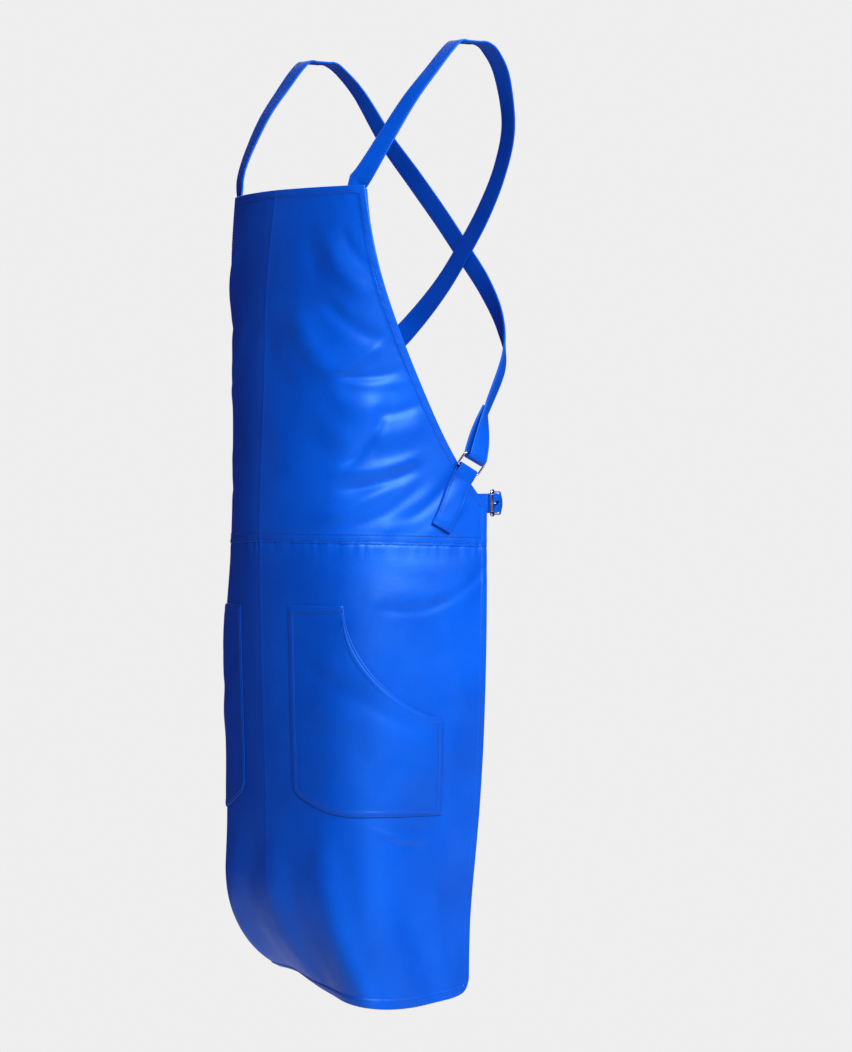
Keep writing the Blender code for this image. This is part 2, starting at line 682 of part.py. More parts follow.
def main():
    clear_scene()
    make_bib()
    make_skirt()
    for side, word in ((1, "left"), (-1, "right")):
        make_pocket("pocket_" + word, side)
        make_shoulder_strap("shoulder_strap_" + word, side)
        make_ring_tab("ring_tab_" + word, side)
        make_ring("ring_" + word, side)
    make_tongue()
    make_waist_strap()
    make_buckle_frame()
    turned_tube("buckle_roller", waist_point(BUCKLE_START, ROLLER_OUT), 0.019, BUCKLE_WIRE + GAP, ROLLER_RADIUS)
    make_buckle_prong()
    make_keeper()


main()
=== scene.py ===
"""Looks of the leather butcher's apron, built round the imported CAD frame.

Metres, in the row frame: +Z up, the wearer faces -Y, +X is the wearer's left. Panels are laid out in
pattern coordinates: s is the distance round the wearer from the centre front (positive to the
wearer's left), z the height, and out the distance off the panel's inner face.
"""

import math

import bmesh
import bpy
import numpy as np
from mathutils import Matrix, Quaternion, Vector


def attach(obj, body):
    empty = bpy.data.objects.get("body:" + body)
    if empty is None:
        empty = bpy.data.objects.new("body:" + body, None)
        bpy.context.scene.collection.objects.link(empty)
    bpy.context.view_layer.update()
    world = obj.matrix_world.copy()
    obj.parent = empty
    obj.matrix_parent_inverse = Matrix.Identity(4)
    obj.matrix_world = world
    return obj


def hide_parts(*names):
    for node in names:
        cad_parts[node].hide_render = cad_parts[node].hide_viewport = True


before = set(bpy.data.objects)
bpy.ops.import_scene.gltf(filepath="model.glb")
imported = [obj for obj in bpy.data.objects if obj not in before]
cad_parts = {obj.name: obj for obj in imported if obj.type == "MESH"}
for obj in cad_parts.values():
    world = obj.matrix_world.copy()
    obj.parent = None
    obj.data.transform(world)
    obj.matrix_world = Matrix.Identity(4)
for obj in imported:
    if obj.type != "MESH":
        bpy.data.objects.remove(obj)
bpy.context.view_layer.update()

# ---- dimensions, as in the CAD -------------------------------------------------------------------
LEATHER = 0.0018
STRAP = 0.0022
STRAP_WIDTH = 0.025
WAIST_WIDTH = 0.022
TONGUE_WIDTH = 0.020
SHOULDER_X = 0.1395
GAP = 0.0003
SEWN = 0.0009
Z_BIB_TOP, Z_WAIST_SEAM, Z_HEM = -0.160, -0.5465, -1.0575
HEM_RISE, SEAM_DIP, HEM_CORNER = 0.012, 0.006, 0.020
HALF_BIB_TOP, HALF_WAIST, HALF_HEM = 0.125, 0.285, 0.292
POCKET_INNER_S, POCKET_OUTER_S = 0.044, 0.230
Z_POCKET_TOP, Z_POCKET_MOUTH_END, Z_POCKET_BOTTOM = -0.616, -0.738, -0.845
POCKET_BOTTOM_RISE, POCKET_RISE_WIDTH, POCKET_CORNER, POCKET_TOP_WIDTH = 0.026, 0.085, 0.011, 0.070
POCKET_STAND_OFF, S_POCKET_FLAT = 0.0035, 0.125
STATIONS = (
    # z,     y front, curvature, hip turn
    (-0.160, -0.158, 2.7, 25),
    (-0.240, -0.168, 3.1, 25),
    (-0.400, -0.175, 4.3, 25),
    (-0.550, -0.180, 4.6, 20),
    (-0.640, -0.178, 3.2, 37),
    (-0.830, -0.172, 2.6, 54),
    (-0.950, -0.170, 1.5, 74),
    (-1.100, -0.169, 1.2, 80),
)
S_TURN_START, S_TURN_END = 0.080, 0.180
CREASE_TURN, CREASE_WIDTH = 4.0, 0.010
Z_KNEE, KNEE_RADIUS, S_CURL_START, S_CURL_END = -0.905, 0.134, -0.090, 0.205
TAB_TILT, LOOP_TILT = math.radians(26), math.radians(24)
TAB_TOP_S, TAB_TOP_Z, TAB_LENGTH = 0.2495, -0.4705, 0.068
RING_WIRE, RING_REACH, RING_LIFT = 0.0013, 0.0150, math.radians(24)
LOOP_RADIUS, LOOP_LENGTH, LOOP_TWIST = 0.0050, 0.058, math.radians(42)
WAIST_Z, WAIST_HEADING = -0.5040, 133.0
BUCKLE_START, BUCKLE_LENGTH, BUCKLE_WIRE = 0.010, 0.022, 0.0015
HEEL_OUT, ROLLER_OUT, ROLLER_RADIUS = 0.0042, 0.0052, 0.0026
KEEPER_AT, TONGUE_END = 0.054, 0.082

# ---- finish --------------------------------------------------------------------------------------
HEM_WIDTH = 0.0085  # turned edges
BOTTOM_HEM_WIDTH = 0.011
STITCH_PITCH, STITCH_LENGTH, STITCH_RADIUS, STITCH_LIFT = 0.0034, 0.0026, 0.00036, 0.00012
HEM_STITCH = 0.0018  # from a turned edge's inner end to its stitches
ON_HEM = 0.0008  # how far the stitches of a turned edge stand off the panel's outer face
SEAM_STITCHES = (0.0030, 0.0098)  # up from the waist seam
POCKET_STITCHES = (0.0022, 0.0078)  # in from the pocket's edges
STITCH_SINK = 0.00012  # how far a strap's stitches lie below its faces

# Soft folds of the bib and skirt: the two ends (s, z) of the fold's line, its width, and its height
# (negative for a valley). They fade out towards their ends.
FOLDS = (
    # the bib: loose under the arm, and drawn towards the ring tab
    (0.086, -0.222, 0.130, -0.276, 0.011, 0.0022),
    (0.060, -0.205, 0.078, -0.262, 0.012, -0.0012),
    (0.104, -0.212, 0.136, -0.250, 0.006, -0.0010),
    (0.048, -0.296, 0.096, -0.366, 0.017, 0.0034),
    (0.090, -0.290, 0.150, -0.330, 0.009, -0.0020),
    (0.098, -0.364, 0.150, -0.331, 0.0065, 0.0021),
    (0.106, -0.368, 0.165, -0.362, 0.0045, -0.0017),
    (0.112, -0.374, 0.172, -0.374, 0.0050, 0.0011),
    (0.096, -0.384, 0.150, -0.408, 0.014, 0.0024),
    (0.096, -0.434, 0.144, -0.386, 0.026, 0.0034),
    (0.116, -0.462, 0.152, -0.404, 0.0070, -0.0034),
    (0.146, -0.408, 0.190, -0.398, 0.0055, -0.0018),
    (0.138, -0.432, 0.190, -0.420, 0.013, 0.0026),
    (0.108, -0.470, 0.186, -0.456, 0.0075, 0.0024),
    (0.112, -0.490, 0.184, -0.470, 0.0066, -0.0034),
    (0.084, -0.523, 0.164, -0.481, 0.0080, 0.0021),
    (0.122, -0.531, 0.192, -0.488, 0.0055, -0.0014),
    (0.158, -0.534, 0.206, -0.494, 0.0070, 0.0018),
    (0.174, -0.524, 0.238, -0.476, 0.0066, -0.0031),
    (0.200, -0.540, 0.246, -0.506, 0.0070, 0.0013),
    (0.006, -0.322, 0.040, -0.380, 0.014, -0.0012),
    (0.012, -0.400, 0.050, -0.470, 0.018, 0.0010),
    # the wearer's right side of the bib
    (-0.088, -0.230, -0.132, -0.284, 0.011, 0.0018),
    (-0.052, -0.312, -0.100, -0.366, 0.014, 0.0020),
    (-0.100, -0.300, -0.152, -0.338, 0.009, -0.0016),
    (-0.110, -0.384, -0.172, -0.352, 0.008, 0.0018),
    (-0.120, -0.404, -0.184, -0.392, 0.006, -0.0016),
    (-0.118, -0.452, -0.196, -0.430, 0.009, 0.0020),
    (-0.104, -0.486, -0.190, -0.462, 0.007, -0.0020),
    (-0.130, -0.522, -0.214, -0.486, 0.008, 0.0018),
    (-0.170, -0.532, -0.236, -0.480, 0.006, -0.0019),
    # the skirt over the hip and the thigh
    (0.168, -0.572, 0.272, -0.566, 0.014, 0.0016),
    (0.160, -0.620, 0.226, -0.614, 0.0055, -0.0014),
    (0.214, -0.616, 0.276, -0.580, 0.0055, -0.0015),
    (0.160, -0.602, 0.268, -0.590, 0.022, 0.0034),
    (0.234, -0.640, 0.262, -0.730, 0.012, 0.0013),
    (0.240, -0.760, 0.262, -0.880, 0.014, 0.0012),
    (0.120, -0.640, 0.150, -0.606, 0.011, 0.0009),
    (0.150, -0.862, 0.208, -0.871, 0.0034, 0.0012),
    (0.156, -0.868, 0.204, -0.877, 0.0040, -0.0008),
    (0.168, -0.8425, 0.214, -0.849, 0.0030, 0.0006),
    (-0.160, -0.580, -0.262, -0.572, 0.014, 0.0015),
    (-0.150, -0.628, -0.250, -0.600, 0.009, -0.0012),
    (-0.238, -0.660, -0.262, -0.820, 0.014, 0.0012),
    # the long soft folds below the knee
    (0.012, -0.880, 0.026, -1.050, 0.016, 0.0022),
    (0.040, -0.900, 0.066, -1.050, 0.015, -0.0018),
    (0.084, -0.870, 0.126, -1.045, 0.017, 0.0026),
    (0.114, -0.900, 0.160, -1.050, 0.015, -0.0024),
    (0.146, -0.880, 0.204, -1.045, 0.017, 0.0024),
    (0.196, -0.860, 0.232, -1.050, 0.015, -0.0016),
    (0.232, -0.880, 0.258, -1.040, 0.014, 0.0014),
    (-0.030, -0.890, -0.044, -1.050, 0.018, -0.0020),
    (-0.070, -0.880, -0.092, -1.050, 0.018, 0.0022),
    (-0.124, -0.870, -0.150, -1.045, 0.018, -0.0020),
    (-0.180, -0.860, -0.206, -1.045, 0.018, 0.0020),
    (-0.234, -0.880, -0.252, -1.040, 0.015, -0.0014),
)


# ---- the worn shape ------------------------------------------------------------------------------
def smoothstep(t):
    t = np.clip(t, 0.0, 1.0)
    return t * t * (3.0 - 2.0 * t)


def station(column, z):
    rows = np.array(STATIONS)[::-1]
    heights, values = rows[:, 0], rows[:, column]
    slopes = np.gradient(values, heights)
    z = np.clip(z, heights[0], heights[-1])
    i = np.clip(np.searchsorted(heights, z, side="right") - 1, 0, len(heights) - 2)
    step = heights[i + 1] - heights[i]
    t = (z - heights[i]) / step
    return (
        (2 * t**3 - 3 * t**2 + 1) * values[i]
        + (t**3 - 2 * t**2 + t) * step * slopes[i]
        + (3 * t**2 - 2 * t**3) * values[i + 1]
        + (t**3 - t**2) * step * slopes[i + 1]
    )


def heading(s, z):
    return (
        math.radians(CREASE_TURN) * (1.0 - np.exp(-s / CREASE_WIDTH))
        + station(2, z) * s
        + np.radians(station(3, z)) * smoothstep((s - S_TURN_START) / (S_TURN_END - S_TURN_START))
    )


def worn(s, z, out=0.0):
    s, z, out = np.broadcast_arrays(np.asarray(s, float), np.asarray(z, float), np.asarray(out, float))
    steps = 60
    fractions = (np.arange(steps) + 0.5) / steps
    size = np.abs(s)
    turned = heading(size[..., None] * fractions, z[..., None])
    side = np.where(s < 0, -1.0, 1.0)
    turn = heading(size, z)
    x = side * (size * np.cos(turned).mean(axis=-1) + out * np.sin(turn))
    y = station(1, z) + size * np.sin(turned).mean(axis=-1) - out * np.cos(turn)
    drop = np.clip(Z_KNEE - z, 0.0, None)
    curl = 1.0 - smoothstep((s - S_CURL_START) / (S_CURL_END - S_CURL_START))
    y = y + curl * KNEE_RADIUS * (1.0 - np.cos(drop / KNEE_RADIUS))
    lifted = z + curl * (drop - KNEE_RADIUS * np.sin(drop / KNEE_RADIUS))
    return np.stack([x, y, lifted], axis=-1)


def local_frame(s, z, out=0.0):
    place = Vector(worn(s, z, out))
    turn = float(heading(np.array(abs(s)), np.array(z)))
    side = -1.0 if s < 0 else 1.0
    along = Vector((side * math.cos(turn), math.sin(turn), 0.0))
    outward = Vector((side * math.sin(turn), -math.cos(turn), 0.0))
    return place, along, Vector((0, 0, 1)), outward


def armhole_half_width(z):
    t = np.linspace(0.0, 1.0, 400)
    corners = ((HALF_BIB_TOP, Z_BIB_TOP), (0.157, -0.310), (0.214, -0.450), (HALF_WAIST, -0.507))
    weights = ((1 - t) ** 3, 3 * t * (1 - t) ** 2, 3 * t**2 * (1 - t), t**3)
    widths = sum(w * c[0] for w, c in zip(weights, corners))
    heights = sum(w * c[1] for w, c in zip(weights, corners))
    return np.interp(-np.asarray(z, float), -heights, widths)


def waist_seam(across):
    return Z_WAIST_SEAM - SEAM_DIP * np.abs(across)


def waves(s, z):
    """Faint irregular swelling of worn leather, the same every run."""
    total = 0.0
    for k, (a, b, phase) in enumerate(
        ((31, 17, 0.3), (-22, 41, 1.7), (57, -13, 2.9), (71, 63, 0.9), (-95, 38, 4.1), (120, -88, 5.2))
    ):
        total = total + np.sin(a * s + b * z + phase + 1.3 * np.sin(0.6 * b * s - 0.4 * a * z)) / (1.0 + k)
    return total


def seam_hash(s):
    broad = np.sin(s * 410.0 + 2.0 * np.sin(s * 93.0))
    return broad + 0.7 * np.sin(s * 733.0 + 1.1) + 0.5 * np.sin(s * 1190.0 + 0.4)


def relief(s, z):
    """How far the whole sheet stands off its smooth shape here: folds, waves and seam puckers."""
    s, z = np.broadcast_arrays(np.asarray(s, float), np.asarray(z, float))
    total = 0.00022 * waves(s, z)
    for s0, z0, s1, z1, width, height in FOLDS:
        ds, dz = s1 - s0, z1 - z0
        length = math.hypot(ds, dz)
        t = ((s - s0) * ds + (z - z0) * dz) / length**2
        bow = 0.06 * length * np.sin(np.clip(t, -0.3, 1.3) * math.pi)
        off = ((s - s0) * dz - (z - z0) * ds) / length - bow
        ends = smoothstep((t + 0.28) / 0.5) * smoothstep((1.28 - t) / 0.5)
        total = total + height * ends * np.exp(-((off / width) ** 2))
    # The pressed crease down the centre front.
    total = total + 0.0006 * np.exp(-np.abs(s) / 0.0022) * smoothstep((z + 1.02) / 0.2)
    # Puckers along the waist seam, deeper below it.
    from_seam = z - (Z_WAIST_SEAM - SEAM_DIP * np.abs(s) / HALF_WAIST)
    reach = np.where(from_seam < 0, 0.011, 0.006)
    return total + 0.00040 * seam_hash(s) * np.exp(-((from_seam / reach) ** 2))


# ---- meshes --------------------------------------------------------------------------------------
def mesh_object(name, points, faces, material, body="apron"):
    mesh = bpy.data.meshes.new(name)
    corners = [tuple(int(i) for i in f) for f in faces]
    mesh.from_pydata([tuple(p) for p in np.asarray(points, float)], [], corners)
    shape = bmesh.new()
    shape.from_mesh(mesh)
    bmesh.ops.recalc_face_normals(shape, faces=shape.faces)
    shape.to_mesh(mesh)
    shape.free()
    mesh.shade_smooth()
    made = bpy.data.objects.new(name, mesh)
    bpy.context.collection.objects.link(made)
    made.data.materials.append(material)
    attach(made, body)
    return made


def grid_faces(rows, columns, start=0):
    index = np.arange(rows * columns).reshape(rows, columns) + start
    quads = np.stack([index[:-1, :-1], index[1:, :-1], index[1:, 1:], index[:-1, 1:]], axis=-1)
    return quads.reshape(-1, 4)


def sheet_mesh(name, inner, outer, material):
    """A closed sheet between two grids of points, whose rims come together in a rounded edge."""
    rows, columns = inner.shape[:2]
    count = rows * columns
    index = np.arange(count).reshape(rows, columns)
    rim = np.array([*index[0, :-1], *index[:-1, -1], *index[-1, :0:-1], *index[:0:-1, 0]])
    after = np.roll(rim, -1)
    sides = np.stack([rim, after, after + count, rim + count], axis=-1)
    faces = np.concatenate([grid_faces(rows, columns), grid_faces(rows, columns, count)[:, ::-1], sides])
    points = np.concatenate([inner.reshape(-1, 3), outer.reshape(-1, 3)])
    return mesh_object(name, points, faces, material)


def spread(length, fine, step):
    """Distances from an edge: close together over the turned edge, then about step apart."""
    at_edge = [0, 0.0002, 0.0005, 0.0009, 0.0014, 0.0022, 0.0034, 0.0048]
    at_stitches = [0.0060, 0.0066, 0.0072, 0.0078, 0.0083, 0.0088, 0.0094, 0.0102]
    near = np.array(at_edge + at_stitches)
    if fine < 0.01:
        near = near[near < fine + 0.002]
    else:
        near = np.concatenate([near, [0.0107, 0.0111, 0.0116, 0.0124]])
    start = near[-1]
    count = max(2, int(round((length - start) / step)))
    return np.concatenate([near, start + (length - start) * np.arange(1, count + 1) / count])


def edge_profile(e, band, extra=0.0010):
    """Extra height of the outer face, and how far the two faces have closed up, e metres from an edge."""
    turned = extra * smoothstep((band + 0.0006 - e) / 0.0012)
    stitch = 0.00028 * np.exp(-(((e - band + HEM_STITCH) / 0.0006) ** 2))
    closing = np.clip(1.0 - e / 0.0012, 0.0, 1.0)
    rounding = 1.0 - np.sqrt(np.clip(1.0 - closing**2, 0.0, 1.0))
    return turned - stitch, rounding


def close_faces(inner_out, outer_out, rounding):
    """Brings the two faces together towards the middle at a rounded edge."""
    middle = (inner_out + outer_out) / 2
    half = (outer_out - inner_out) / 2 * (1.0 - 0.93 * rounding)
    return middle - half, middle + half


def stitch_line(points, normals):
    """Vertices and faces of the stitches along a line that lies on a surface."""
    points, normals = np.asarray(points, float), np.asarray(normals, float)
    travelled = np.concatenate([[0.0], np.cumsum(np.linalg.norm(np.diff(points, axis=0), axis=1))])
    total = travelled[-1]
    count = int(total / STITCH_PITCH)
    if count < 1:
        return np.zeros((0, 3)), np.zeros((0, 4), int)
    centres = (np.arange(count) + 0.5) * total / count
    t = np.linspace(-1.0, 1.0, 5)
    where = centres[:, None] + t[None, :] * STITCH_LENGTH / 2
    at = np.stack([np.interp(where, travelled, points[:, k]) for k in range(3)], axis=-1)
    normal = np.stack([np.interp(where, travelled, normals[:, k]) for k in range(3)], axis=-1)
    normal /= np.linalg.norm(normal, axis=-1, keepdims=True)
    along = np.gradient(at, axis=1)
    along /= np.linalg.norm(along, axis=-1, keepdims=True)
    across = np.cross(normal, along)
    height = STITCH_LIFT * (1.0 - t**2) - 0.00016 * t**4
    thick = STITCH_RADIUS * np.sqrt(np.clip(1.0 - 0.8 * t**4, 0.0, 1.0))
    angles = np.arange(6) * math.pi / 3
    height, thick = height[None, :, None, None], thick[None, :, None, None]
    rise = height + thick * 0.75 * np.sin(angles)[None, None, :, None]
    reach = thick * np.cos(angles)[None, None, :, None]
    ring = at[:, :, None, :] + normal[:, :, None, :] * rise + across[:, :, None, :] * reach
    verts = ring.reshape(-1, 3)
    base = []
    for row in range(4):
        for k in range(6):
            j = (k + 1) % 6
            base.append((row * 6 + k, row * 6 + j, (row + 1) * 6 + j, (row + 1) * 6 + k))
    base = np.array(base + [(0, 1, 2, 3), (0, 3, 4, 5), (24, 25, 26, 27), (24, 27, 28, 29)])
    faces = (np.arange(count) * 30)[:, None, None] + base[None]
    return verts, faces.reshape(-1, 4)


def stitches(name, lines, body="apron"):
    verts, faces, start = [], [], 0
    for line in lines:
        v, f = stitch_line(*line)
        verts.append(v)
        faces.append(f + start)
        start += len(v)
    mesh_object(name, np.concatenate(verts), np.concatenate(faces), THREAD, body)


# ---- materials -----------------------------------------------------------------------------------
def new_material(name):
    made = bpy.data.materials.new(name)
    made.use_nodes = True
    nodes, links = made.node_tree.nodes, made.node_tree.links
    shader = nodes["Principled BSDF"]
    place = nodes.new("ShaderNodeTexCoord")
    return made, nodes, links, shader, place


def noise(nodes, links, place, scale, detail=3.0, roughness=0.5, stretch=None):
    made = nodes.new("ShaderNodeTexNoise")
    made.inputs["Scale"].default_value = scale
    made.inputs["Detail"].default_value = detail
    made.inputs["Roughness"].default_value = roughness
    source = place.outputs["Object"]
    if stretch is not None:
        mapping = nodes.new("ShaderNodeMapping")
        mapping.inputs["Scale"].default_value = stretch
        links.new(source, mapping.inputs["Vector"])
        source = mapping.outputs["Vector"]
    links.new(source, made.inputs["Vector"])
    return made


def ramp(nodes, links, source, low, high, at=(0.35, 0.65)):
    made = nodes.new("ShaderNodeValToRGB")
    made.color_ramp.elements[0].position = at[0]
    made.color_ramp.elements[1].position = at[1]
    made.color_ramp.elements[0].color = (*low, 1.0)
    made.color_ramp.elements[1].color = (*high, 1.0)
    links.new(source, made.inputs["Fac"])
    return made


def value_range(nodes, links, source, low, high, start=0.3, end=0.7):
    made = nodes.new("ShaderNodeMapRange")
    made.inputs["From Min"].default_value = start
    made.inputs["From Max"].default_value = end
    made.inputs["To Min"].default_value = low
    made.inputs["To Max"].default_value = high
    links.new(source, made.inputs["Value"])
    return made


def leather_material(name, deep, bright, roughness=(0.38, 0.49), grain=950.0, shine=0.58):
    """Coated full-grain leather: pebbled grain, pores, faint mottling and a satin finish."""
    made, nodes, links, shader, place = new_material(name)
    mottle = noise(nodes, links, place, 9.0, 5.0, 0.55)
    colour = ramp(nodes, links, mottle.outputs["Fac"], deep, bright)
    speck = noise(nodes, links, place, 520.0, 2.0)
    mixed = nodes.new("ShaderNodeMix")
    mixed.data_type = "RGBA"
    mixed.blend_type = "MULTIPLY"
    mixed.inputs["Factor"].default_value = 0.22
    speck_ramp = ramp(nodes, links, speck.outputs["Fac"], (0.72, 0.74, 0.80), (1.0, 1.0, 1.0), (0.40, 0.62))
    links.new(colour.outputs["Color"], mixed.inputs["A"])
    links.new(speck_ramp.outputs["Color"], mixed.inputs["B"])
    links.new(mixed.outputs["Result"], shader.inputs["Base Color"])
    patch = noise(nodes, links, place, 26.0, 4.0)
    rough = value_range(nodes, links, patch.outputs["Fac"], *roughness)
    links.new(rough.outputs["Result"], shader.inputs["Roughness"])
    shader.inputs["Specular IOR Level"].default_value = shine
    shader.inputs["Specular Tint"].default_value = (0.28, 0.72, 1.0, 1.0)
    shader.inputs["Coat Weight"].default_value = 0.015
    shader.inputs["Coat Roughness"].default_value = 0.30
    pebble = nodes.new("ShaderNodeTexVoronoi")
    pebble.inputs["Scale"].default_value = grain
    pebble.feature = "SMOOTH_F1"
    pebble.inputs["Smoothness"].default_value = 0.5
    links.new(place.outputs["Object"], pebble.inputs["Vector"])
    fine = nodes.new("ShaderNodeBump")
    fine.inputs["Strength"].default_value = 0.45
    fine.inputs["Distance"].default_value = 0.00012
    links.new(pebble.outputs["Distance"], fine.inputs["Height"])
    hide = noise(nodes, links, place, 140.0, 4.0, 0.6)
    coarse = nodes.new("ShaderNodeBump")
    coarse.inputs["Strength"].default_value = 0.35
    coarse.inputs["Distance"].default_value = 0.0005
    links.new(hide.outputs["Fac"], coarse.inputs["Height"])
    links.new(fine.outputs["Normal"], coarse.inputs["Normal"])
    links.new(coarse.outputs["Normal"], shader.inputs["Normal"])
    return made


def thread_material():
    made, nodes, links, shader, place = new_material("thread")
    fibre = noise(nodes, links, place, 2600.0, 2.0)
    colour = ramp(nodes, links, fibre.outputs["Fac"], (0.002, 0.030, 0.23), (0.007, 0.068, 0.45))
    links.new(colour.outputs["Color"], shader.inputs["Base Color"])
    shader.inputs["Roughness"].default_value = 0.55
    bump = nodes.new("ShaderNodeBump")
    bump.inputs["Strength"].default_value = 0.5
    bump.inputs["Distance"].default_value = 0.0001
    links.new(fibre.outputs["Fac"], bump.inputs["Height"])
    links.new(bump.outputs["Normal"], shader.inputs["Normal"])
    return made


def steel_material():
    """Nickel-plated steel wire: polished, with fine scratches and a little dulling."""
    made, nodes, links, shader, place = new_material("nickel_plate")
    cloud = noise(nodes, links, place, 160.0, 4.0)
    colour = ramp(nodes, links, cloud.outputs["Fac"], (0.50, 0.50, 0.51), (0.74, 0.73, 0.72))
    links.new(colour.outputs["Color"], shader.inputs["Base Color"])
    shader.inputs["Metallic"].default_value = 1.0
    scratch = noise(nodes, links, place, 900.0, 3.0, 0.6, (1.0, 1.0, 0.12))
    rough = value_range(nodes, links, scratch.outputs["Fac"], 0.14, 0.32)
    links.new(rough.outputs["Result"], shader.inputs["Roughness"])
    bump = nodes.new("ShaderNodeBump")
    bump.inputs["Strength"].default_value = 0.18
    bump.inputs["Distance"].default_value = 0.00006
    links.new(scratch.outputs["Fac"], bump.inputs["Height"])
    links.new(bump.outputs["Normal"], shader.inputs["Normal"])
    return made


PANEL = leather_material("panel_leather", (0.0002, 0.070, 0.50), (0.0003, 0.092, 0.62))
POCKET = leather_material("pocket_leather", (0.0002, 0.067, 0.48), (0.0003, 0.089, 0.60))
BELT = leather_material(
    "strap_leather",
    (0.0002, 0.068, 0.48),
    (0.0003, 0.090, 0.60),
    roughness=(0.42, 0.52),
    grain=800.0,
    shine=0.40,
)
THREAD = thread_material()
STEEL = steel_material()


# ---- panels --------------------------------------------------------------------------------------
def surface_point(s, z, out):
    """A point off the panel's smooth inner face, with the panel's folds."""
    return worn(s, z, np.asarray(out, float) + relief(s, z))


def normals_on(s, z):
    """Outward directions of the folded surface at places given in pattern coordinates."""
    d = 0.0006
    a = surface_point(s + d, z, 0.0) - surface_point(s - d, z, 0.0)
    b = surface_point(s, z + d, 0.0) - surface_point(s, z - d, 0.0)
    n = np.cross(a, b)
    return n / np.linalg.norm(n, axis=-1, keepdims=True)


def two_sided(distances, half):
    """Fractions from -1 to 1 of columns that lie at these distances from either side edge."""
    inner = 1.0 - distances / half
    return np.unique(np.round(np.concatenate([-inner, inner]), 7))


def bib_slope(z):
    d = 0.002
    slope = (armhole_half_width(z - d) - armhole_half_width(z + d)) / (2 * d)
    return np.cos(np.arctan(np.clip(slope, 0.0, 3.0)))


def bib_sz(across, z_top_distance):
    """Pattern place from the across fraction and the height fraction down the bib."""
    z = Z_BIB_TOP + (waist_seam(across) + GAP - Z_BIB_TOP) * z_top_distance
    return across * armhole_half_width(z), z - 0.0006 * smoothstep((z_top_distance - 0.96) / 0.04)


def make_bib():
    height = Z_BIB_TOP - Z_WAIST_SEAM
    distances = spread(0.19, HEM_WIDTH, 0.0030) * 1.25
    across = two_sided(distances, 0.19 * 1.25)
    across = np.concatenate([across, [-0.016, -0.009, -0.004, 0.0, 0.004, 0.009, 0.016]])
    across = np.unique(np.round(across, 6))[None, :]
    top = spread(height - 0.016, HEM_WIDTH, 0.0026)
    near_stitches = [0.0145, 0.0132, 0.0122, 0.0114, 0.0106, 0.0094, 0.0084]
    near_edge = [0.0072, 0.0060, 0.0048, 0.0036, 0.0026, 0.0018, 0.0011, 0.0006, 0.0002, 0.0]
    bottom = height - np.array(near_stitches + near_edge)
    down = (np.concatenate([top, bottom]) / height)[:, None]
    s, z = bib_sz(across, down)
    half = armhole_half_width(z)
    e_side = (half - np.abs(s)) * bib_slope(z)
    e_top = Z_BIB_TOP - z
    e = np.minimum(e_side, e_top)
    turned, rounding = edge_profile(e, HEM_WIDTH)
    e_seam = z - (waist_seam(across) + GAP)
    sunk = sum(np.exp(-(((e_seam - up) / 0.0007) ** 2)) for up in SEAM_STITCHES)
    lap = 0.0003 * smoothstep((0.0125 - e_seam) / 0.0030) - 0.00030 * sunk
    closing = np.clip(1.0 - (e_seam + 0.0006) / 0.0009, 0.0, 1.0)
    rounding = np.maximum(rounding, 1.0 - np.sqrt(np.clip(1.0 - closing**2, 0.0, 1.0)))
    # Coated leather draws up a little between the edge stitches.
    draw = 0.00012 * np.sin((z + 0.6 * s) * 620.0) * np.exp(-(((e - HEM_WIDTH) / 0.004) ** 2))
    fold = relief(s, z)
    inner_out, outer_out = close_faces(fold, LEATHER + turned + lap + draw + fold, rounding)
    made = sheet_mesh("bib_panel", worn(s, z, inner_out), worn(s, z, outer_out), PANEL)
    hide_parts("bib")

    lines = []
    down_line = np.linspace(0.018, 1.0, 500)
    for side in (-1.0, 1.0):
        z_line = Z_BIB_TOP + (Z_WAIST_SEAM - SEAM_DIP - Z_BIB_TOP) * down_line
        s_line = side * (armhole_half_width(z_line) - (HEM_WIDTH - HEM_STITCH) / bib_slope(z_line))
        lines.append(line_on(s_line, z_line, LEATHER + ON_HEM))
    s_line = np.linspace(-1.0, 1.0, 300) * (HALF_BIB_TOP - HEM_WIDTH)
    lines.append(line_on(s_line, np.full(300, Z_BIB_TOP - HEM_WIDTH + HEM_STITCH), LEATHER + ON_HEM))
    a_line = np.linspace(-0.985, 0.985, 900)
    for up in SEAM_STITCHES:
        lines.append(line_on(a_line * HALF_WAIST, waist_seam(a_line) + GAP + up, LEATHER + 0.00055))
    stitches("bib_stitching", lines)
    flat_area(armhole_half_width, Z_WAIST_SEAM - 0.003, Z_BIB_TOP)


def line_on(s, z, out):
    """A stitch line on a panel: its points and the surface's directions there."""
    return surface_point(s, z, out), normals_on(s, z)


def flat_area(half_width, low, high):
    """The cut area of a panel between two heights."""
    z = np.linspace(low, high, 400)
    widths = 2 * half_width(z)
    return float(((widths[1:] + widths[:-1]) / 2 * np.diff(z)).sum())


def skirt_half_width(z):
    t = (Z_WAIST_SEAM - z) / (Z_WAIST_SEAM - Z_HEM)
    return HALF_WAIST + (HALF_HEM - HALF_WAIST) * t


def skirt_sz(across, down):
    hem = Z_HEM + HEM_RISE * np.abs(across) ** 3
    z = waist_seam(across) + (hem - waist_seam(across)) * down
    into_corner = np.clip(HEM_CORNER - (z - hem), 0.0, HEM_CORNER)
    rounding = HEM_CORNER - np.sqrt(HEM_CORNER**2 - into_corner**2)
    lapped = 0.0004 * smoothstep(1.0 - down / 0.006)
    return across * (skirt_half_width(z) - rounding * np.abs(across) ** 12), z + lapped


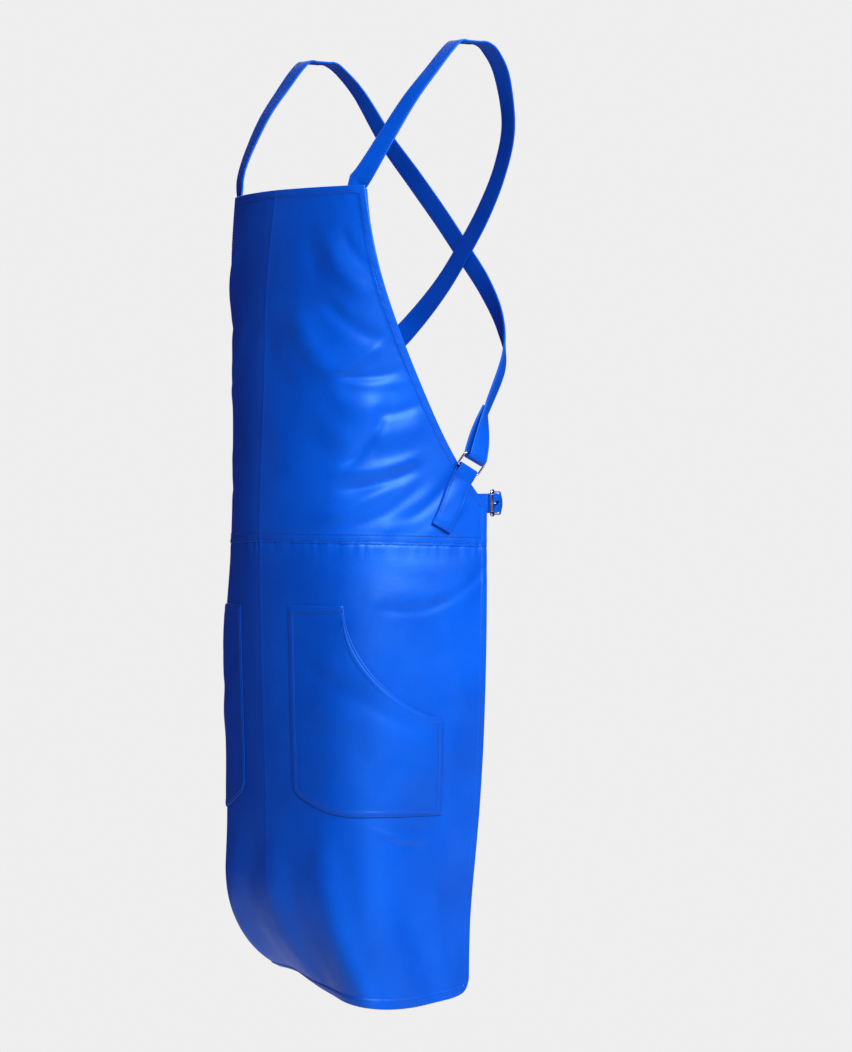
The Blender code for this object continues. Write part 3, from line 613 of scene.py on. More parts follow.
def make_skirt():
    height = Z_WAIST_SEAM - Z_HEM
    across = two_sided(spread(HALF_WAIST, HEM_WIDTH, 0.0031), HALF_WAIST)
    across = np.concatenate([across, [-0.014, -0.008, -0.004, 0.0, 0.004, 0.008, 0.014]])
    across = np.unique(np.round(across, 6))[None, :]
    from_bottom = spread(height - 0.006, BOTTOM_HEM_WIDTH, 0.0031)
    top = height - np.array([0.0045, 0.0034, 0.0024, 0.0016, 0.0010, 0.0005, 0.0002, 0.0])
    down = (1.0 - np.concatenate([from_bottom, top]) / height)[::-1][:, None]
    s, z = skirt_sz(across, down)
    e_side = (1.0 - np.abs(across)) * skirt_half_width(z)
    e_bottom = (1.0 - down) * height + 0.0 * across
    side_turned, side_round = edge_profile(e_side, HEM_WIDTH)
    bottom_turned, bottom_round = edge_profile(e_bottom, BOTTOM_HEM_WIDTH, 0.0012)
    closing = np.clip(1.0 - down * height / 0.0006, 0.0, 1.0) + 0.0 * across
    top_round = 1.0 - np.sqrt(np.clip(1.0 - closing**2, 0.0, 1.0))
    rounding = np.maximum(np.maximum(side_round, bottom_round), top_round)
    draw = 0.00014 * np.sin(s * 560.0) * np.exp(-(((e_bottom - BOTTOM_HEM_WIDTH) / 0.005) ** 2))
    draw = draw + 0.00010 * np.sin(z * 560.0) * np.exp(-(((e_side - HEM_WIDTH) / 0.005) ** 2))
    fold = relief(s, z)
    under = -0.0005 * np.exp(-((down * height / 0.0020) ** 2))
    turned = np.maximum(side_turned, bottom_turned)
    inner_out, outer_out = close_faces(fold, LEATHER + turned + draw + under + fold, rounding)
    made = sheet_mesh("skirt_panel", worn(s, z, inner_out), worn(s, z, outer_out), PANEL)
    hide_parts("skirt")

    lines = []
    down_line = np.linspace(0.004, 0.988, 700)
    for side in (-1.0, 1.0):
        s_line, z_line = skirt_sz(np.full(700, side), down_line)
        inset = (HEM_WIDTH - HEM_STITCH) * side
        lines.append(line_on(s_line - inset, z_line, LEATHER + ON_HEM))
    a_line = np.linspace(-0.97, 0.97, 900)
    s_line, z_line = skirt_sz(a_line, np.full(900, 1.0 - (BOTTOM_HEM_WIDTH - HEM_STITCH) / height))
    lines.append(line_on(s_line, z_line, LEATHER + 0.0010))
    stitches("skirt_stitching", lines)
    flat_area(skirt_half_width, Z_HEM + 0.004, Z_WAIST_SEAM - 0.003)


def pocket_top(s):
    start = POCKET_INNER_S + POCKET_TOP_WIDTH
    t = np.clip((s - start) / (POCKET_OUTER_S - start), 0.0, 1.0)
    return Z_POCKET_TOP + (Z_POCKET_MOUTH_END - Z_POCKET_TOP) * (1.0 - (1.0 - t) ** 1.9) ** 0.62


def pocket_bottom(s):
    rise = POCKET_BOTTOM_RISE * np.clip(1.0 - (s - POCKET_INNER_S) / POCKET_RISE_WIDTH, 0.0, 1.0) ** 2
    into_corner = np.clip(POCKET_CORNER - (s - POCKET_INNER_S), 0.0, POCKET_CORNER)
    rounding = POCKET_CORNER - np.sqrt(POCKET_CORNER**2 - into_corner**2)
    return Z_POCKET_BOTTOM + rise + rounding


def pocket_out(s, v):
    """How far the pocket's inner face stands off the skirt's inner face."""
    fill = smoothstep((s - S_POCKET_FLAT) / 0.045) * smoothstep((POCKET_OUTER_S - s) / 0.032)
    return LEATHER + 0.0002 + POCKET_STAND_OFF * fill * smoothstep(2.2 * (1.0 - v))


def make_pocket(word, side):
    thick = 0.0013
    width = POCKET_OUTER_S - POCKET_INNER_S
    at_edge = [0, 0.0002, 0.0005, 0.0009, 0.0014, 0.0020, 0.0026]
    near = np.array(at_edge + [0.0032, 0.0038, 0.0046, 0.0056, 0.0064, 0.0072, 0.0080])
    middle = np.linspace(0.0095, width - 0.0095, 62)
    s = (POCKET_INNER_S + np.concatenate([near, middle, width - near[::-1]]))[None, :]
    v_top = [0, 0.0015, 0.004, 0.007, 0.011, 0.017, 0.024, 0.030, 0.036, 0.043, 0.052, 0.062, 0.07]
    v_bottom = 1.0 - np.array([0.040, 0.033, 0.027, 0.022, 0.017, 0.012, 0.008, 0.005, 0.002, 0.0])
    v = np.concatenate([v_top, np.linspace(0.085, 0.95, 62), v_bottom])[:, None]
    top, bottom = pocket_top(s), pocket_bottom(s)
    z = top + (bottom - top) * v
    mouth_slope = np.gradient(pocket_top(s[0]), s[0])[None, :]
    e_top = (top - z) * np.cos(np.arctan(np.clip(np.abs(mouth_slope), 0.0, 2.5)))
    e_side = np.minimum(s - POCKET_INNER_S, POCKET_OUTER_S - s)
    e_bottom = z - bottom
    e = np.minimum(np.minimum(e_top, e_side + 0.0 * z), e_bottom)
    sewn = np.minimum(e_side + 0.0 * z, e_bottom)
    _, rounding = edge_profile(e, HEM_WIDTH)
    sunk = sum(np.exp(-(((e - i) / w) ** 2)) for i, w in zip(POCKET_STITCHES, (0.0006, 0.0007)))
    ridges = -0.00030 * sunk + 0.00045 * np.exp(-(((e - 0.0050) / 0.0022) ** 2))
    pressed = -0.0002 * np.exp(-((sewn / 0.004) ** 2))
    hip = 0.15 + 0.85 * smoothstep((s - 0.10) / 0.05)
    swell = 0.0012 * hip * smoothstep((sewn - 0.008) / 0.03) * (0.6 + 0.4 * np.sin(26.0 * s + 31.0 * z + 0.8))
    slump = 0.0011 * np.exp(-(((z + 0.735 + 0.35 * (s - 0.1)) / 0.018) ** 2))
    slump = slump - 0.0008 * np.exp(-(((z + 0.700 + 0.55 * (s - 0.1)) / 0.010) ** 2))
    slump = slump * smoothstep((sewn - 0.01) / 0.03)
    out = pocket_out(s, v) + pressed + swell + slump + relief(side * s, z)
    inner_out, outer_out = close_faces(out, out + thick + ridges, rounding)
    inner, outer = worn(side * s, z, inner_out), worn(side * s, z, outer_out)
    made = sheet_mesh("pocket_" + word + "_panel", inner, outer, POCKET)
    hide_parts("pocket_" + word)

    def line(s_line, z_line, v_line):
        out_line = pocket_out(s_line, v_line) + thick + relief(side * s_line, z_line) + 0.0001
        e_line = np.minimum(s_line - POCKET_INNER_S, POCKET_OUTER_S - s_line)
        sewn_line = np.minimum(e_line, z_line - pocket_bottom(s_line))
        out_line = out_line - 0.0002 * np.exp(-((sewn_line / 0.004) ** 2))
        return worn(side * s_line, z_line, out_line), normals_on(side * s_line, z_line)

    lines = []
    for inset in POCKET_STITCHES:
        for s_at, stop in ((POCKET_INNER_S + inset, 0.955), (POCKET_OUTER_S - inset, 0.975)):
            v_line = np.linspace(0.03, stop, 300)
            s_line = np.full(300, s_at)
            top_line, bottom_line = pocket_top(s_line), pocket_bottom(s_line)
            lines.append(line(s_line, top_line + (bottom_line - top_line) * v_line, v_line))
        s_line = np.linspace(POCKET_INNER_S + 0.006, POCKET_OUTER_S - 0.004, 300)
        bottom_line = pocket_bottom(s_line)
        lines.append(line(s_line, bottom_line + inset, np.full(300, 0.97)))
        s_line = np.linspace(POCKET_INNER_S + 0.004, POCKET_OUTER_S - 0.004, 500)
        slope = np.gradient(pocket_top(s_line), s_line)
        fall = inset / np.cos(np.arctan(np.clip(np.abs(slope), 0.0, 2.5)))
        lines.append(line(s_line, pocket_top(s_line) - fall, np.full(500, 0.03)))
    stitches("pocket_" + word + "_stitching", lines)


# ---- straps --------------------------------------------------------------------------------------
def smooth_path(points, spacing):
    points = np.array(points, float)
    padded = np.vstack([2 * points[0] - points[1], points, 2 * points[-1] - points[-2]])
    samples = []
    for a, b, c, d in zip(padded[:-3], padded[1:-2], padded[2:-1], padded[3:]):
        count = max(1, round(float(np.linalg.norm((c - b)[:3])) / spacing))
        for t in np.arange(count) / count:
            cubic = (3 * b - 3 * c + d - a) * t**3
            samples.append(0.5 * (2 * b + (c - a) * t + (2 * a - 5 * b + 4 * c - d) * t**2 + cubic))
    samples.append(points[-1])
    return np.array(samples)


def unit(vectors):
    return vectors / np.linalg.norm(vectors, axis=-1, keepdims=True)


def strap_section(width, thickness, inset=0.0028):
    """Half-rounded strap section with a sunk stitch channel near each edge, on both faces."""
    half, r = width / 2, thickness / 2
    groove = 0.00022
    face = []
    channel = [-half + inset + step for step in (-0.0009, -0.0004, 0.0, 0.0004, 0.0009)]
    for x in [-half + r, *channel, -half * 0.45, 0.0]:
        from_channel = abs(abs(x) - (half - inset))
        dip = 0.0
        if from_channel < 0.0001:
            dip = groove
        elif from_channel < 0.0006:
            dip = groove * 0.6
        face.append((x, r - dip))
    face = face + [(-x, y) for x, y in face[-2::-1]]
    round_right = [(half - r + r * math.sin(a), r * math.cos(a)) for a in np.linspace(0, math.pi, 9)[1:-1]]
    under = [(x, -y) for x, y in face[::-1]]
    round_left = [(-half + r - r * math.sin(a), -r * math.cos(a)) for a in np.linspace(0, math.pi, 9)[1:-1]]
    return np.array(face + round_right + under + round_left)


def free_row(place, across, face):
    place, across, face = (np.array(tuple(v), float) for v in (place, across, face))
    return lambda x, y: place + np.multiply.outer(x, across) + np.multiply.outer(y, face)


def laid_row(s, z, out, across):
    """A row of a strap lying on a panel, following the panel's folds."""

    def at(x, y):
        s_at, z_at = s + across[0] * np.asarray(x), z + across[1] * np.asarray(x)
        return worn(s_at, z_at, out + np.asarray(y) + relief(s_at, z_at))

    return at


def ribbon(path, outward):
    tangent = unit(np.gradient(path, axis=0))
    outward = unit(outward - (outward * tangent).sum(axis=-1, keepdims=True) * tangent)
    return [free_row(p, a, f) for p, a, f in zip(path, np.cross(outward, tangent), outward)]


def edge_lines(rows, x_edge, thickness):
    """The stitch lines along both edges of a strap, on both of its faces."""
    lines = []
    for x in (-x_edge, x_edge):
        middle = np.array([row(np.array([x]), np.array([0.0]))[0] for row in rows])
        for y in (1.0, -1.0):
            face = np.array([y * (thickness / 2 - STITCH_SINK)])
            at = np.array([row(np.array([x]), face)[0] for row in rows])
            lines.append((at, unit(at - middle)))
    return lines


def strap_mesh(
    name, rows, width, thickness=STRAP, body="apron", tip=None, stitch=True, inset=0.0028, runs=None
):
    """A strap through its rows, with rounded edges, stitch channels and stitching along runs of rows."""
    section = strap_section(width, thickness, inset)
    narrow = tip or [1.0] * len(rows)
    points = np.array([row(section[:, 0] * n, section[:, 1]) for row, n in zip(rows, narrow)])
    # Both ends are closed with a slightly rounded cap.
    first = rows[0](section[:, 0] * 0.985 * narrow[0], section[:, 1] * 0.75)
    last = rows[-1](section[:, 0] * 0.985 * narrow[-1], section[:, 1] * 0.75)
    head = unit(points[0].mean(axis=0) - points[1].mean(axis=0)) * thickness * 0.22
    tail = unit(points[-1].mean(axis=0) - points[-2].mean(axis=0)) * thickness * 0.22
    points = np.concatenate([[first + head], points, [last + tail]])
    rows_count, columns = points.shape[:2]
    index = np.arange(rows_count * columns).reshape(rows_count, columns)
    after = np.roll(index, -1, axis=1)
    quads = np.stack([index[:-1], index[1:], after[1:], after[:-1]], axis=-1).reshape(-1, 4)
    faces = [tuple(q) for q in quads] + [tuple(index[0][::-1]), tuple(index[-1])]
    mesh = bpy.data.meshes.new(name)
    mesh.from_pydata([tuple(p) for p in points.reshape(-1, 3)], [], faces)
    shape = bmesh.new()
    shape.from_mesh(mesh)
    bmesh.ops.recalc_face_normals(shape, faces=shape.faces)
    shape.to_mesh(mesh)
    shape.free()
    mesh.shade_smooth()
    mesh.set_sharp_from_angle(angle=math.radians(50))
    made = bpy.data.objects.new(name, mesh)
    bpy.context.collection.objects.link(made)
    made.data.materials.append(BELT)
    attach(made, body)
    if stitch:
        lines = []
        for run in runs or (rows,):
            lines += edge_lines(run, width / 2 - inset, thickness)
        stitches(name + "_stitching", lines, body)
    return made


def ring_frame(side):
    place, along, up, outward = local_frame(side * TAB_TOP_S, TAB_TOP_Z, LEATHER)
    reach = (along * math.sin(TAB_TILT) + up * math.cos(TAB_TILT)).normalized()
    bar = (along * math.cos(TAB_TILT) - up * math.sin(TAB_TILT)).normalized()
    axis = place + outward * (SEWN + STRAP + RING_WIRE + GAP + 0.0009) + reach * 0.003
    return axis, reach, bar, outward


def far_bar(side):
    axis, reach, _, outward = ring_frame(side)
    return axis + (reach * math.cos(RING_LIFT) + outward * math.sin(RING_LIFT)) * RING_REACH


def loop_rows(side):
    _, reach, bar, outward = ring_frame(side)
    lean = TAB_TILT - LOOP_TILT
    reach = reach * math.cos(lean) - bar * math.sin(lean)
    inward = math.radians(11)
    reach, outward = (
        reach * math.cos(inward) - outward * math.sin(inward),
        outward * math.cos(inward) + reach * math.sin(inward),
    )
    middle = far_bar(side) + reach * (LOOP_RADIUS - STRAP / 2 - RING_WIRE - 0.0010)
    tip = middle + reach * LOOP_LENGTH
    half = STRAP / 2 + GAP / 2
    arms = []
    for t in np.linspace(0.0, 1.0, 25):
        spread_out = half + (LOOP_RADIUS - half) * math.sin(t * math.pi / 2) ** 1.3
        face = outward.copy()
        face.rotate(Quaternion(reach * side, LOOP_TWIST * (1.0 - t) ** 1.5))
        arms.append((tip + (middle - tip) * t, face, spread_out))
    rows = [(place + face * out, face) for place, face, out in arms]
    for angle in np.linspace(0.0, math.pi, 21)[1:]:
        turned = outward * math.cos(angle) - reach * math.sin(angle)
        rows.append((middle + turned * LOOP_RADIUS, turned))
    rows += [(place - face * out, -face) for place, face, out in arms[-2::-1]]
    return rows


def make_shoulder_strap(word, side):
    behind = -SEWN - STRAP / 2
    rows = []
    for z in np.linspace(-0.245, -0.164, 24):
        insets = (-0.0007, 0.0003, 0.0008, 0.0010, 0.0010)
        inset = float(np.interp(-z, (0.164, 0.185, 0.205, 0.225, 0.245), insets))
        s = float(armhole_half_width(z)) - STRAP_WIDTH / 2 - inset
        rows.append(laid_row(side * s, z, behind, (-1.0, 0.0)))
    control = [
        (0.1086, -0.1292, -0.1570, (0.46, -0.88, 0.05)),
        (0.1150, -0.1262, -0.1490, (0.42, -0.87, 0.22)),
        (0.1228, -0.1182, -0.1310, (0.34, -0.85, 0.40)),
        (0.1290, -0.1022, -0.1030, (0.24, -0.80, 0.52)),
        (0.1345, -0.0766, -0.0640, (0.14, -0.72, 0.66)),
        (0.1378, -0.0480, -0.0300, (0.05, -0.58, 0.80)),
        (0.1392, -0.0310, -0.0105, (0.02, -0.42, 0.90)),
    ]
    control += [(SHOULDER_X, y, STRAP / 2, (0, 0, 1)) for y in (-0.018, -0.009, 0.009, 0.018)]
    crossing = 0.0 if side > 0 else STRAP + 2 * GAP + 0.0008
    control += [
        (0.1385, 0.0320, -0.0070, (0.0, 0.34, 0.94)),
        (0.1310, 0.0540, -0.0330, (0.05, 0.72, 0.69)),
        (0.1120, 0.0780, -0.0850, (0.15, 0.93, 0.32)),
        (0.0780, 0.0930, -0.1320, (0.15, 0.98, 0.12)),
        (0.0400, 0.0990 + crossing, -0.1780, (0.06, 1.0, 0.03)),
        (0.0000, 0.1005 + crossing, -0.2200, (0.0, 1.0, 0.0)),
        (-0.0400, 0.0990 + crossing, -0.2600, (-0.08, 1.0, 0.0)),
        (-0.0840, 0.0890, -0.3020, (-0.35, 0.94, 0.0)),
        (-0.1220, 0.0640, -0.3450, (-0.72, 0.69, 0.0)),
    ]
    joined = [(side * x, y, z, side * f[0], f[1], f[2]) for x, y, z, f in control]
    loop = [(*place, *face) for place, face in loop_rows(-side)]
    path = smooth_path(joined + loop[:1], 0.004)
    path = np.vstack([path, loop[1:]])
    rows += ribbon(path[:, :3], path[:, 3:])
    # The turn round the ring is left without stitches, so that the ring runs freely in it.
    made = strap_mesh("shoulder_strap_" + word + "_belt", rows, STRAP_WIDTH, runs=(rows[:-50], rows[-19:]))
    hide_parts("shoulder_strap_" + word)


def make_ring_tab(word, side):
    axis, reach, bar, outward = ring_frame(side)
    turn_radius = RING_WIRE + GAP + STRAP / 2
    across = (side * math.cos(TAB_TILT), -math.sin(TAB_TILT))

    def laid(t, out):
        s = side * (TAB_TOP_S - math.sin(TAB_TILT) * TAB_LENGTH * t)
        z = TAB_TOP_Z - math.cos(TAB_TILT) * TAB_LENGTH * t
        return laid_row(s, z, out, across)

    under = LEATHER + 0.0006 + STRAP / 2
    rows = [laid(t, under + 0.0003 * t) for t in np.linspace(1.0, 0.0, 30)]
    shift = np.array(tuple(outward)) * float(relief(np.array(side * TAB_TOP_S), np.array(TAB_TOP_Z)))
    for angle in np.linspace(0.05, 1.0, 16) * math.pi:
        turned = reach * math.sin(angle) - outward * math.cos(angle)
        place = np.array(tuple(axis + turned * turn_radius)) + shift * max(0.0, 1.0 - angle)
        rows.append(free_row(place, bar, -turned))
    back = []
    for t in np.linspace(0.14, 1.0, 34):
        back.append(laid(t, under + STRAP + 0.0003 - 0.0012 * smoothstep((t - 0.86) / 0.14)))
    rows += [(lambda x, y, r=r: r(x, -y)) for r in back]
    made = strap_mesh("ring_tab_" + word + "_belt", rows, STRAP_WIDTH, inset=0.0024)
    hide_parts("ring_tab_" + word)
    # The lines that close the sewn box, across the tab near its lower end and below the ring.
    lines = []

    def patch_line(points):
        at, up = [], []
        for (x0, t0), (x1, t1) in zip(points[:-1], points[1:]):
            for f in np.linspace(0.0, 1.0, 40):
                x, t = x0 + (x1 - x0) * f, t0 + (t1 - t0) * f
                layer = under + STRAP * 1.5 + 0.0003 - 0.0012 * float(smoothstep((t - 0.86) / 0.14))
                s = side * (TAB_TOP_S - math.sin(TAB_TILT) * TAB_LENGTH * t) + across[0] * x
                z = TAB_TOP_Z - math.cos(TAB_TILT) * TAB_LENGTH * t + across[1] * x
                at.append(surface_point(s, z, layer - 0.0001))
                up.append(normals_on(np.array(s), np.array(z)))
        lines.append((np.array(at), np.array(up)))

    wide = STRAP_WIDTH / 2 - 0.0024
    patch_line([(-wide, 0.962), (wide, 0.962)])
    patch_line([(-wide, 0.16), (wide, 0.16)])
    stitches("ring_tab_" + word + "_box_stitching", lines, "apron")


# ---- waist strap, tongue and buckle --------------------------------------------------------------
def waist_frame():
    edge = local_frame(HALF_WAIST, WAIST_Z)[0]
    turn = math.radians(WAIST_HEADING)
    return edge, Vector((math.cos(turn), math.sin(turn), 0)), Vector((math.sin(turn), -math.cos(turn), 0))


def waist_point(along, out, height=0.0):
    edge, backward, outward = waist_frame()
    return edge + backward * along + outward * out + Vector((0, 0, height))


def cutter_object(name, points):
    mesh = bpy.data.meshes.new(name)
    shape = bmesh.new()
    for point in points:
        shape.verts.new(point)
    bmesh.ops.convex_hull(shape, input=shape.verts)
    bmesh.ops.recalc_face_normals(shape, faces=shape.faces)
    shape.to_mesh(mesh)
    shape.free()
    made = bpy.data.objects.new(name, mesh)
    bpy.context.collection.objects.link(made)
    return made


def slot_points(along0, along1, height, out0, out1, steps=8):
    """An oblong hole's outline, swept from out0 to out1."""
    r = height / 2
    points = []
    for along, start in ((along1 - r, -math.pi / 2), (along0 + r, math.pi / 2)):
        for i in range(steps + 1):
            angle = start + math.pi * i / steps
            for out in (out0, out1):
                points.append(waist_point(along + r * math.cos(angle), out, r * math.sin(angle)))
    return points


def cut(made, cutters):
    for n, cutter in enumerate(cutters):
        boolean = made.modifiers.new("Hole" + str(n), "BOOLEAN")
        boolean.operation = "DIFFERENCE"
        boolean.object = cutter
    bpy.context.view_layer.update()
    graph = bpy.context.evaluated_depsgraph_get()
    result = bpy.data.meshes.new_from_object(made.evaluated_get(graph))
    made.modifiers.clear()
    made.data = result
    for cutter in cutters:
        bpy.data.objects.remove(cutter, do_unlink=True)
    made.data.shade_smooth()
    made.data.set_sharp_from_angle(angle=math.radians(40))


def make_tongue():
    outward = waist_frame()[2]
    behind = -SEWN - STRAP / 2 - 0.0006
    rows = [laid_row(s, WAIST_Z, behind, (0.0, 1.0)) for s in np.linspace(0.252, 0.279, 12)]
    fold_out = HEEL_OUT + BUCKLE_WIRE + GAP + STRAP
    third_layer = STRAP * 2.5 + GAP * 2
    profile = (
        (0.0030, -0.0016),
        (0.0065, 0.0002),
        (0.0100, ROLLER_OUT - ROLLER_RADIUS - GAP - STRAP / 2 - 0.0001),
        (0.0160, 0.0032),
        (0.0220, 0.0062),
        (0.0270, fold_out + GAP + STRAP / 2 - 0.0004),
        (0.0320, fold_out + GAP + STRAP / 2 + 0.0004),
        (0.0370, fold_out + GAP + STRAP / 2 - 0.0002),
        (0.0430, third_layer + 0.0012),
        (0.0475, third_layer + 0.0002),
        (KEEPER_AT, third_layer),
        (0.0620, third_layer),
        (0.0700, third_layer),
        (TONGUE_END, third_layer),
    )
    path = smooth_path([(*waist_point(a, o), *outward) for a, o in profile], 0.0015)
    rows += ribbon(path[:, :3], path[:, 3:])
    count = len(rows)
    from_tip = [min(1.0, (count - 1 - i) / 7.0) for i in range(count)]
    tip = [min(1.0, 0.30 + 0.70 * math.sin(t * math.pi / 2)) for t in from_tip]
    made = strap_mesh("waist_tongue_belt", rows, TONGUE_WIDTH, tip=tip, stitch=False, inset=0.0022)
    cutters = [cutter_object("slot_cutter", slot_points(0.0216, 0.0352, 0.0044, -0.002, 0.016))]
    for n, along in enumerate((0.0645, 0.0735)):
        hole = slot_points(along - 0.0017, along + 0.0017, 0.0034, 0.0044, 0.012)
        cutters.append(cutter_object("hole_cutter_" + str(n), hole))
    cut(made, cutters)
    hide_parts("waist_tongue")


def make_waist_strap():
    _, backward, outward = waist_frame()
    heel = BUCKLE_START + BUCKLE_LENGTH
    turn_radius = BUCKLE_WIRE + GAP + STRAP / 2
    rows = []
    lapped = STRAP * 1.5 + GAP
    fold = [(along, lapped) for along in (0.062, 0.058, 0.054, 0.050, 0.0465)]
    fold += [(0.0440, 0.0037), (0.0415, 0.0043), (0.0392, 0.0053), (0.0370, 0.0062)]
    for along, out in fold:
        rows.append((*waist_point(along, out), *(-outward)))
    for angle in np.linspace(0.0, math.pi, 17):
        turned = outward * math.cos(angle) - backward * math.sin(angle)
        rows.append((*(waist_point(heel, HEEL_OUT) + turned * turn_radius), *(-turned)))
    for along in (0.038, 0.046, 0.054, 0.062):
        rows.append((*waist_point(along, STRAP / 2), *outward))
    fold = np.array(rows)
    back = (
        (0.0750, 0.0800, (0.50, 0.87)),
        (0.0380, 0.0920, (0.22, 0.97)),
        (0.0000, 0.0950, (0.0, 1.0)),
        (-0.0380, 0.0920, (-0.22, 0.97)),
        (-0.0750, 0.0800, (-0.50, 0.87)),
        (-0.1100, 0.0570, (-0.72, 0.69)),
        (-0.1310, 0.0350, (-0.84, 0.54)),
    )
    rows = [tuple(fold[-1])]
    for x, y, face in back:
        rows.append((x, y, WAIST_Z, face[0], face[1], 0.0))
    path = np.vstack([fold[:-1], smooth_path(rows, 0.004)])
    behind = -SEWN - STRAP / 2
    belt = ribbon(path[:, :3], path[:, 3:])
    belt += [laid_row(-s, WAIST_Z, behind, (0.0, 1.0)) for s in np.linspace(0.288, 0.252, 14)]
    made = strap_mesh("waist_strap_belt", belt, WAIST_WIDTH, stitch=False, inset=0.0024)
    prong_slot = slot_points(heel - 0.0075, heel + 0.0062, 0.0058, -0.004, 0.013)
    cut(made, [cutter_object("strap_slot_cutter", prong_slot)])
    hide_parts("waist_strap")
    # Stitching along both edges, past the folded end.
    straight = ribbon(path[30:, :3], path[30:, 3:])
    lines = edge_lines(straight, WAIST_WIDTH / 2 - 0.0024, STRAP)
    stitches("waist_strap_stitching", lines, "apron")


def make_keeper():
    """A narrow leather band round the strap and the tongue, with rounded edges."""
    inner_out, outer_out = -GAP - 0.0001, 3 * STRAP + 3 * GAP + 0.0004
    middle_out = (inner_out + outer_out) / 2
    wall = 0.0014
    tall = WAIST_WIDTH + 2 * GAP + 0.0008 + wall
    deep = outer_out - inner_out + wall
    outline = []
    radius, steps = 0.0016, 8
    for quarter, (cx, cy) in enumerate(((1, 1), (-1, 1), (-1, -1), (1, -1))):
        for step in range(steps + 1):
            angle = math.pi / 2 * (quarter + step / steps)
            x = cx * (tall / 2 - radius) + radius * math.cos(angle)
            y = cy * (deep / 2 - radius) + radius * math.sin(angle)
            outline.append((x, y, angle))
    rim, half = [], 0.0045
    for a in np.linspace(0, 2 * math.pi, 20, endpoint=False):
        c, s = math.cos(a), math.sin(a)
        rim.append((half * math.copysign(abs(c) ** 0.35, c), wall / 2 * math.copysign(abs(s) ** 0.6, s)))
    points = []
    for across, out, angle in outline:
        for along, off in rim:
            raised = middle_out + out + off * math.sin(angle)
            points.append(waist_point(KEEPER_AT + along, raised, across + off * math.cos(angle)))
    rows, columns = len(outline), len(rim)
    faces = []
    for i in range(rows):
        for j in range(columns):
            a, b = (i + 1) % rows, (j + 1) % columns
            faces.append((i * columns + j, a * columns + j, a * columns + b, i * columns + b))
    made = mesh_object("strap_keeper_band", points, faces, BELT, "keeper")
    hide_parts("strap_keeper")


def finish_metal():
    """The wire pieces keep their CAD shape, smoothed, in nickel plate."""
    for name in ("ring_left", "ring_right", "buckle_frame", "buckle_prong", "buckle_roller"):
        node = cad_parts[name]
        node.data.materials.clear()
        node.data.materials.append(STEEL)
        weld = node.modifiers.new("Weld", "WELD")
        weld.merge_threshold = 0.000002
        if name != "buckle_roller":
            smooth = node.modifiers.new("Smooth", "SUBSURF")
            smooth.levels = smooth.render_levels = 2
        else:
            bevel = node.modifiers.new("Edges", "BEVEL")
            bevel.width = 0.00025
            bevel.segments = 2
            bevel.angle_limit = math.radians(40)


# ---- studio --------------------------------------------------------------------------------------
AZIMUTH, DISTANCE, FOCUS = 53.0, 5.0, Vector((0.0, -0.04, -0.5295))


def aim(thing, target):
    thing.rotation_euler = (Vector(target) - thing.location).to_track_quat("-Z", "Y").to_euler()


def area_light(name, azimuth, elevation, distance, size, power, target=FOCUS):
    light = bpy.data.lights.new(name, "AREA")
    light.shape = "RECTANGLE"
    light.size, light.size_y = size
    light.energy = power
    made = bpy.data.objects.new(name, light)
    a, e = math.radians(azimuth), math.radians(elevation)
    direction = Vector((math.sin(a) * math.cos(e), -math.cos(a) * math.cos(e), math.sin(e)))
    made.location = Vector(target) + direction * distance
    aim(made, target)
    bpy.context.collection.objects.link(made)


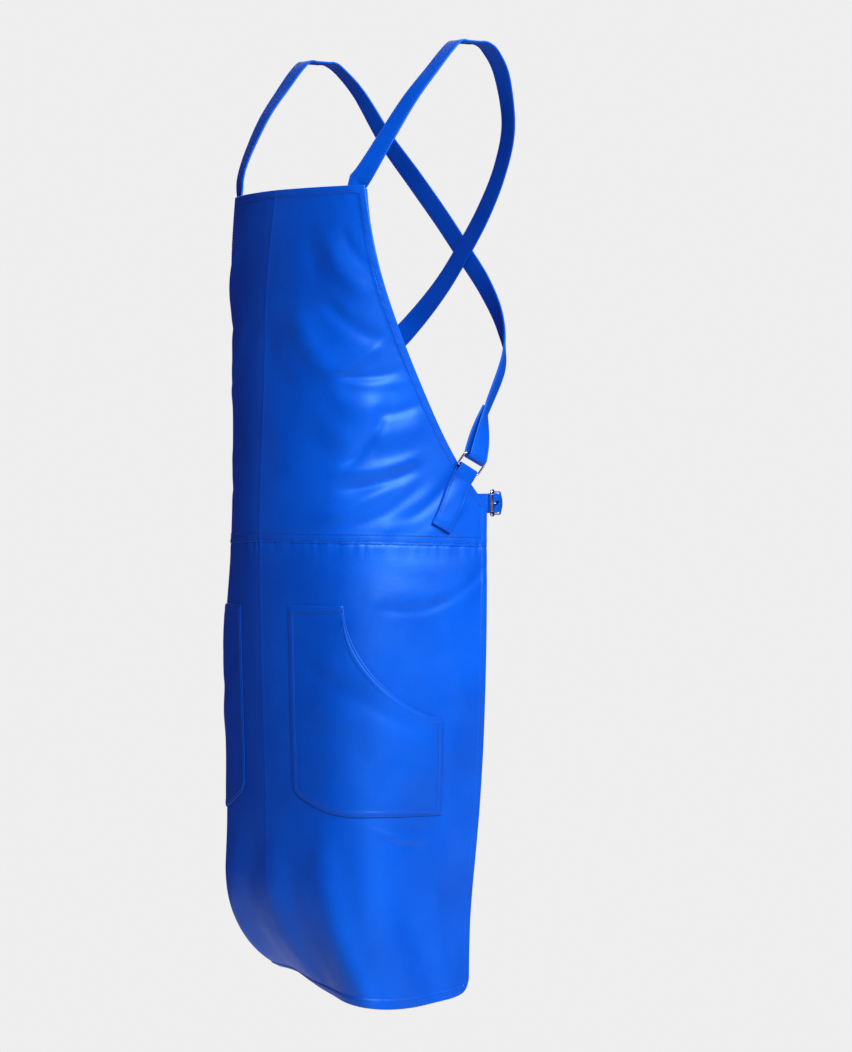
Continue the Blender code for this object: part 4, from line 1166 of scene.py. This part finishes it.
def make_studio():
    shape = bmesh.new()
    bmesh.ops.create_circle(shape, cap_ends=True, segments=96, radius=2.3)
    mesh = bpy.data.meshes.new("floor")
    shape.to_mesh(mesh)
    shape.free()
    floor = bpy.data.objects.new("floor", mesh)
    floor.location = (0.0, -0.04, -1.46)
    bpy.context.collection.objects.link(floor)
    made = bpy.data.materials.new("pale_floor")
    made.use_nodes = True
    shader = made.node_tree.nodes["Principled BSDF"]
    shader.inputs["Base Color"].default_value = (0.74, 0.74, 0.74, 1.0)
    shader.inputs["Roughness"].default_value = 0.8
    floor.data.materials.append(made)

    world = bpy.data.worlds.new("studio")
    bpy.context.scene.world = world
    world.use_nodes = True
    nodes, links = world.node_tree.nodes, world.node_tree.links
    nodes.clear()
    output = nodes.new("ShaderNodeOutputWorld")
    mix = nodes.new("ShaderNodeMixShader")
    path = nodes.new("ShaderNodeLightPath")
    soft, seen = nodes.new("ShaderNodeBackground"), nodes.new("ShaderNodeBackground")
    soft.inputs["Color"].default_value = (0.24, 0.20, 1.0, 1.0)
    soft.inputs["Strength"].default_value = 0.14
    seen.inputs["Color"].default_value = (0.86, 0.86, 0.86, 1.0)
    seen.inputs["Strength"].default_value = 1.0
    links.new(path.outputs["Is Camera Ray"], mix.inputs["Fac"])
    links.new(soft.outputs["Background"], mix.inputs[1])
    links.new(seen.outputs["Background"], mix.inputs[2])
    links.new(mix.outputs["Shader"], output.inputs["Surface"])

    up = Vector((0.0, 0.0, 0.10))
    area_light("key", AZIMUTH + 46, 34, 2.7, (1.0, 1.5), 74.0, FOCUS + up * 2)
    area_light("front_fill", AZIMUTH + 14, 30, 3.2, (1.0, 0.9), 92.0, FOCUS + up)
    area_light("far_fill", AZIMUTH - 100, 12, 3.2, (1.2, 2.0), 1.5)
    area_light("back_fill", AZIMUTH + 180, 30, 3.0, (2.0, 1.6), 22.0)

    camera = bpy.data.objects.new("camera", bpy.data.cameras.new("camera"))
    a = math.radians(AZIMUTH)
    camera.location = FOCUS + Vector((math.sin(a), -math.cos(a), 0.0)) * DISTANCE
    aim(camera, FOCUS)
    camera.data.sensor_width = 36.0
    camera.data.lens = 153.3
    camera.data.shift_x = 0.060
    bpy.context.collection.objects.link(camera)
    bpy.context.scene.camera = camera
    bpy.context.scene.view_settings.view_transform = "Standard"


make_bib()
make_skirt()
for side, word in ((1, "left"), (-1, "right")):
    make_pocket(word, side)
    make_shoulder_strap(word, side)
    make_ring_tab(word, side)
make_tongue()
make_waist_strap()
make_keeper()
finish_metal()
make_studio()
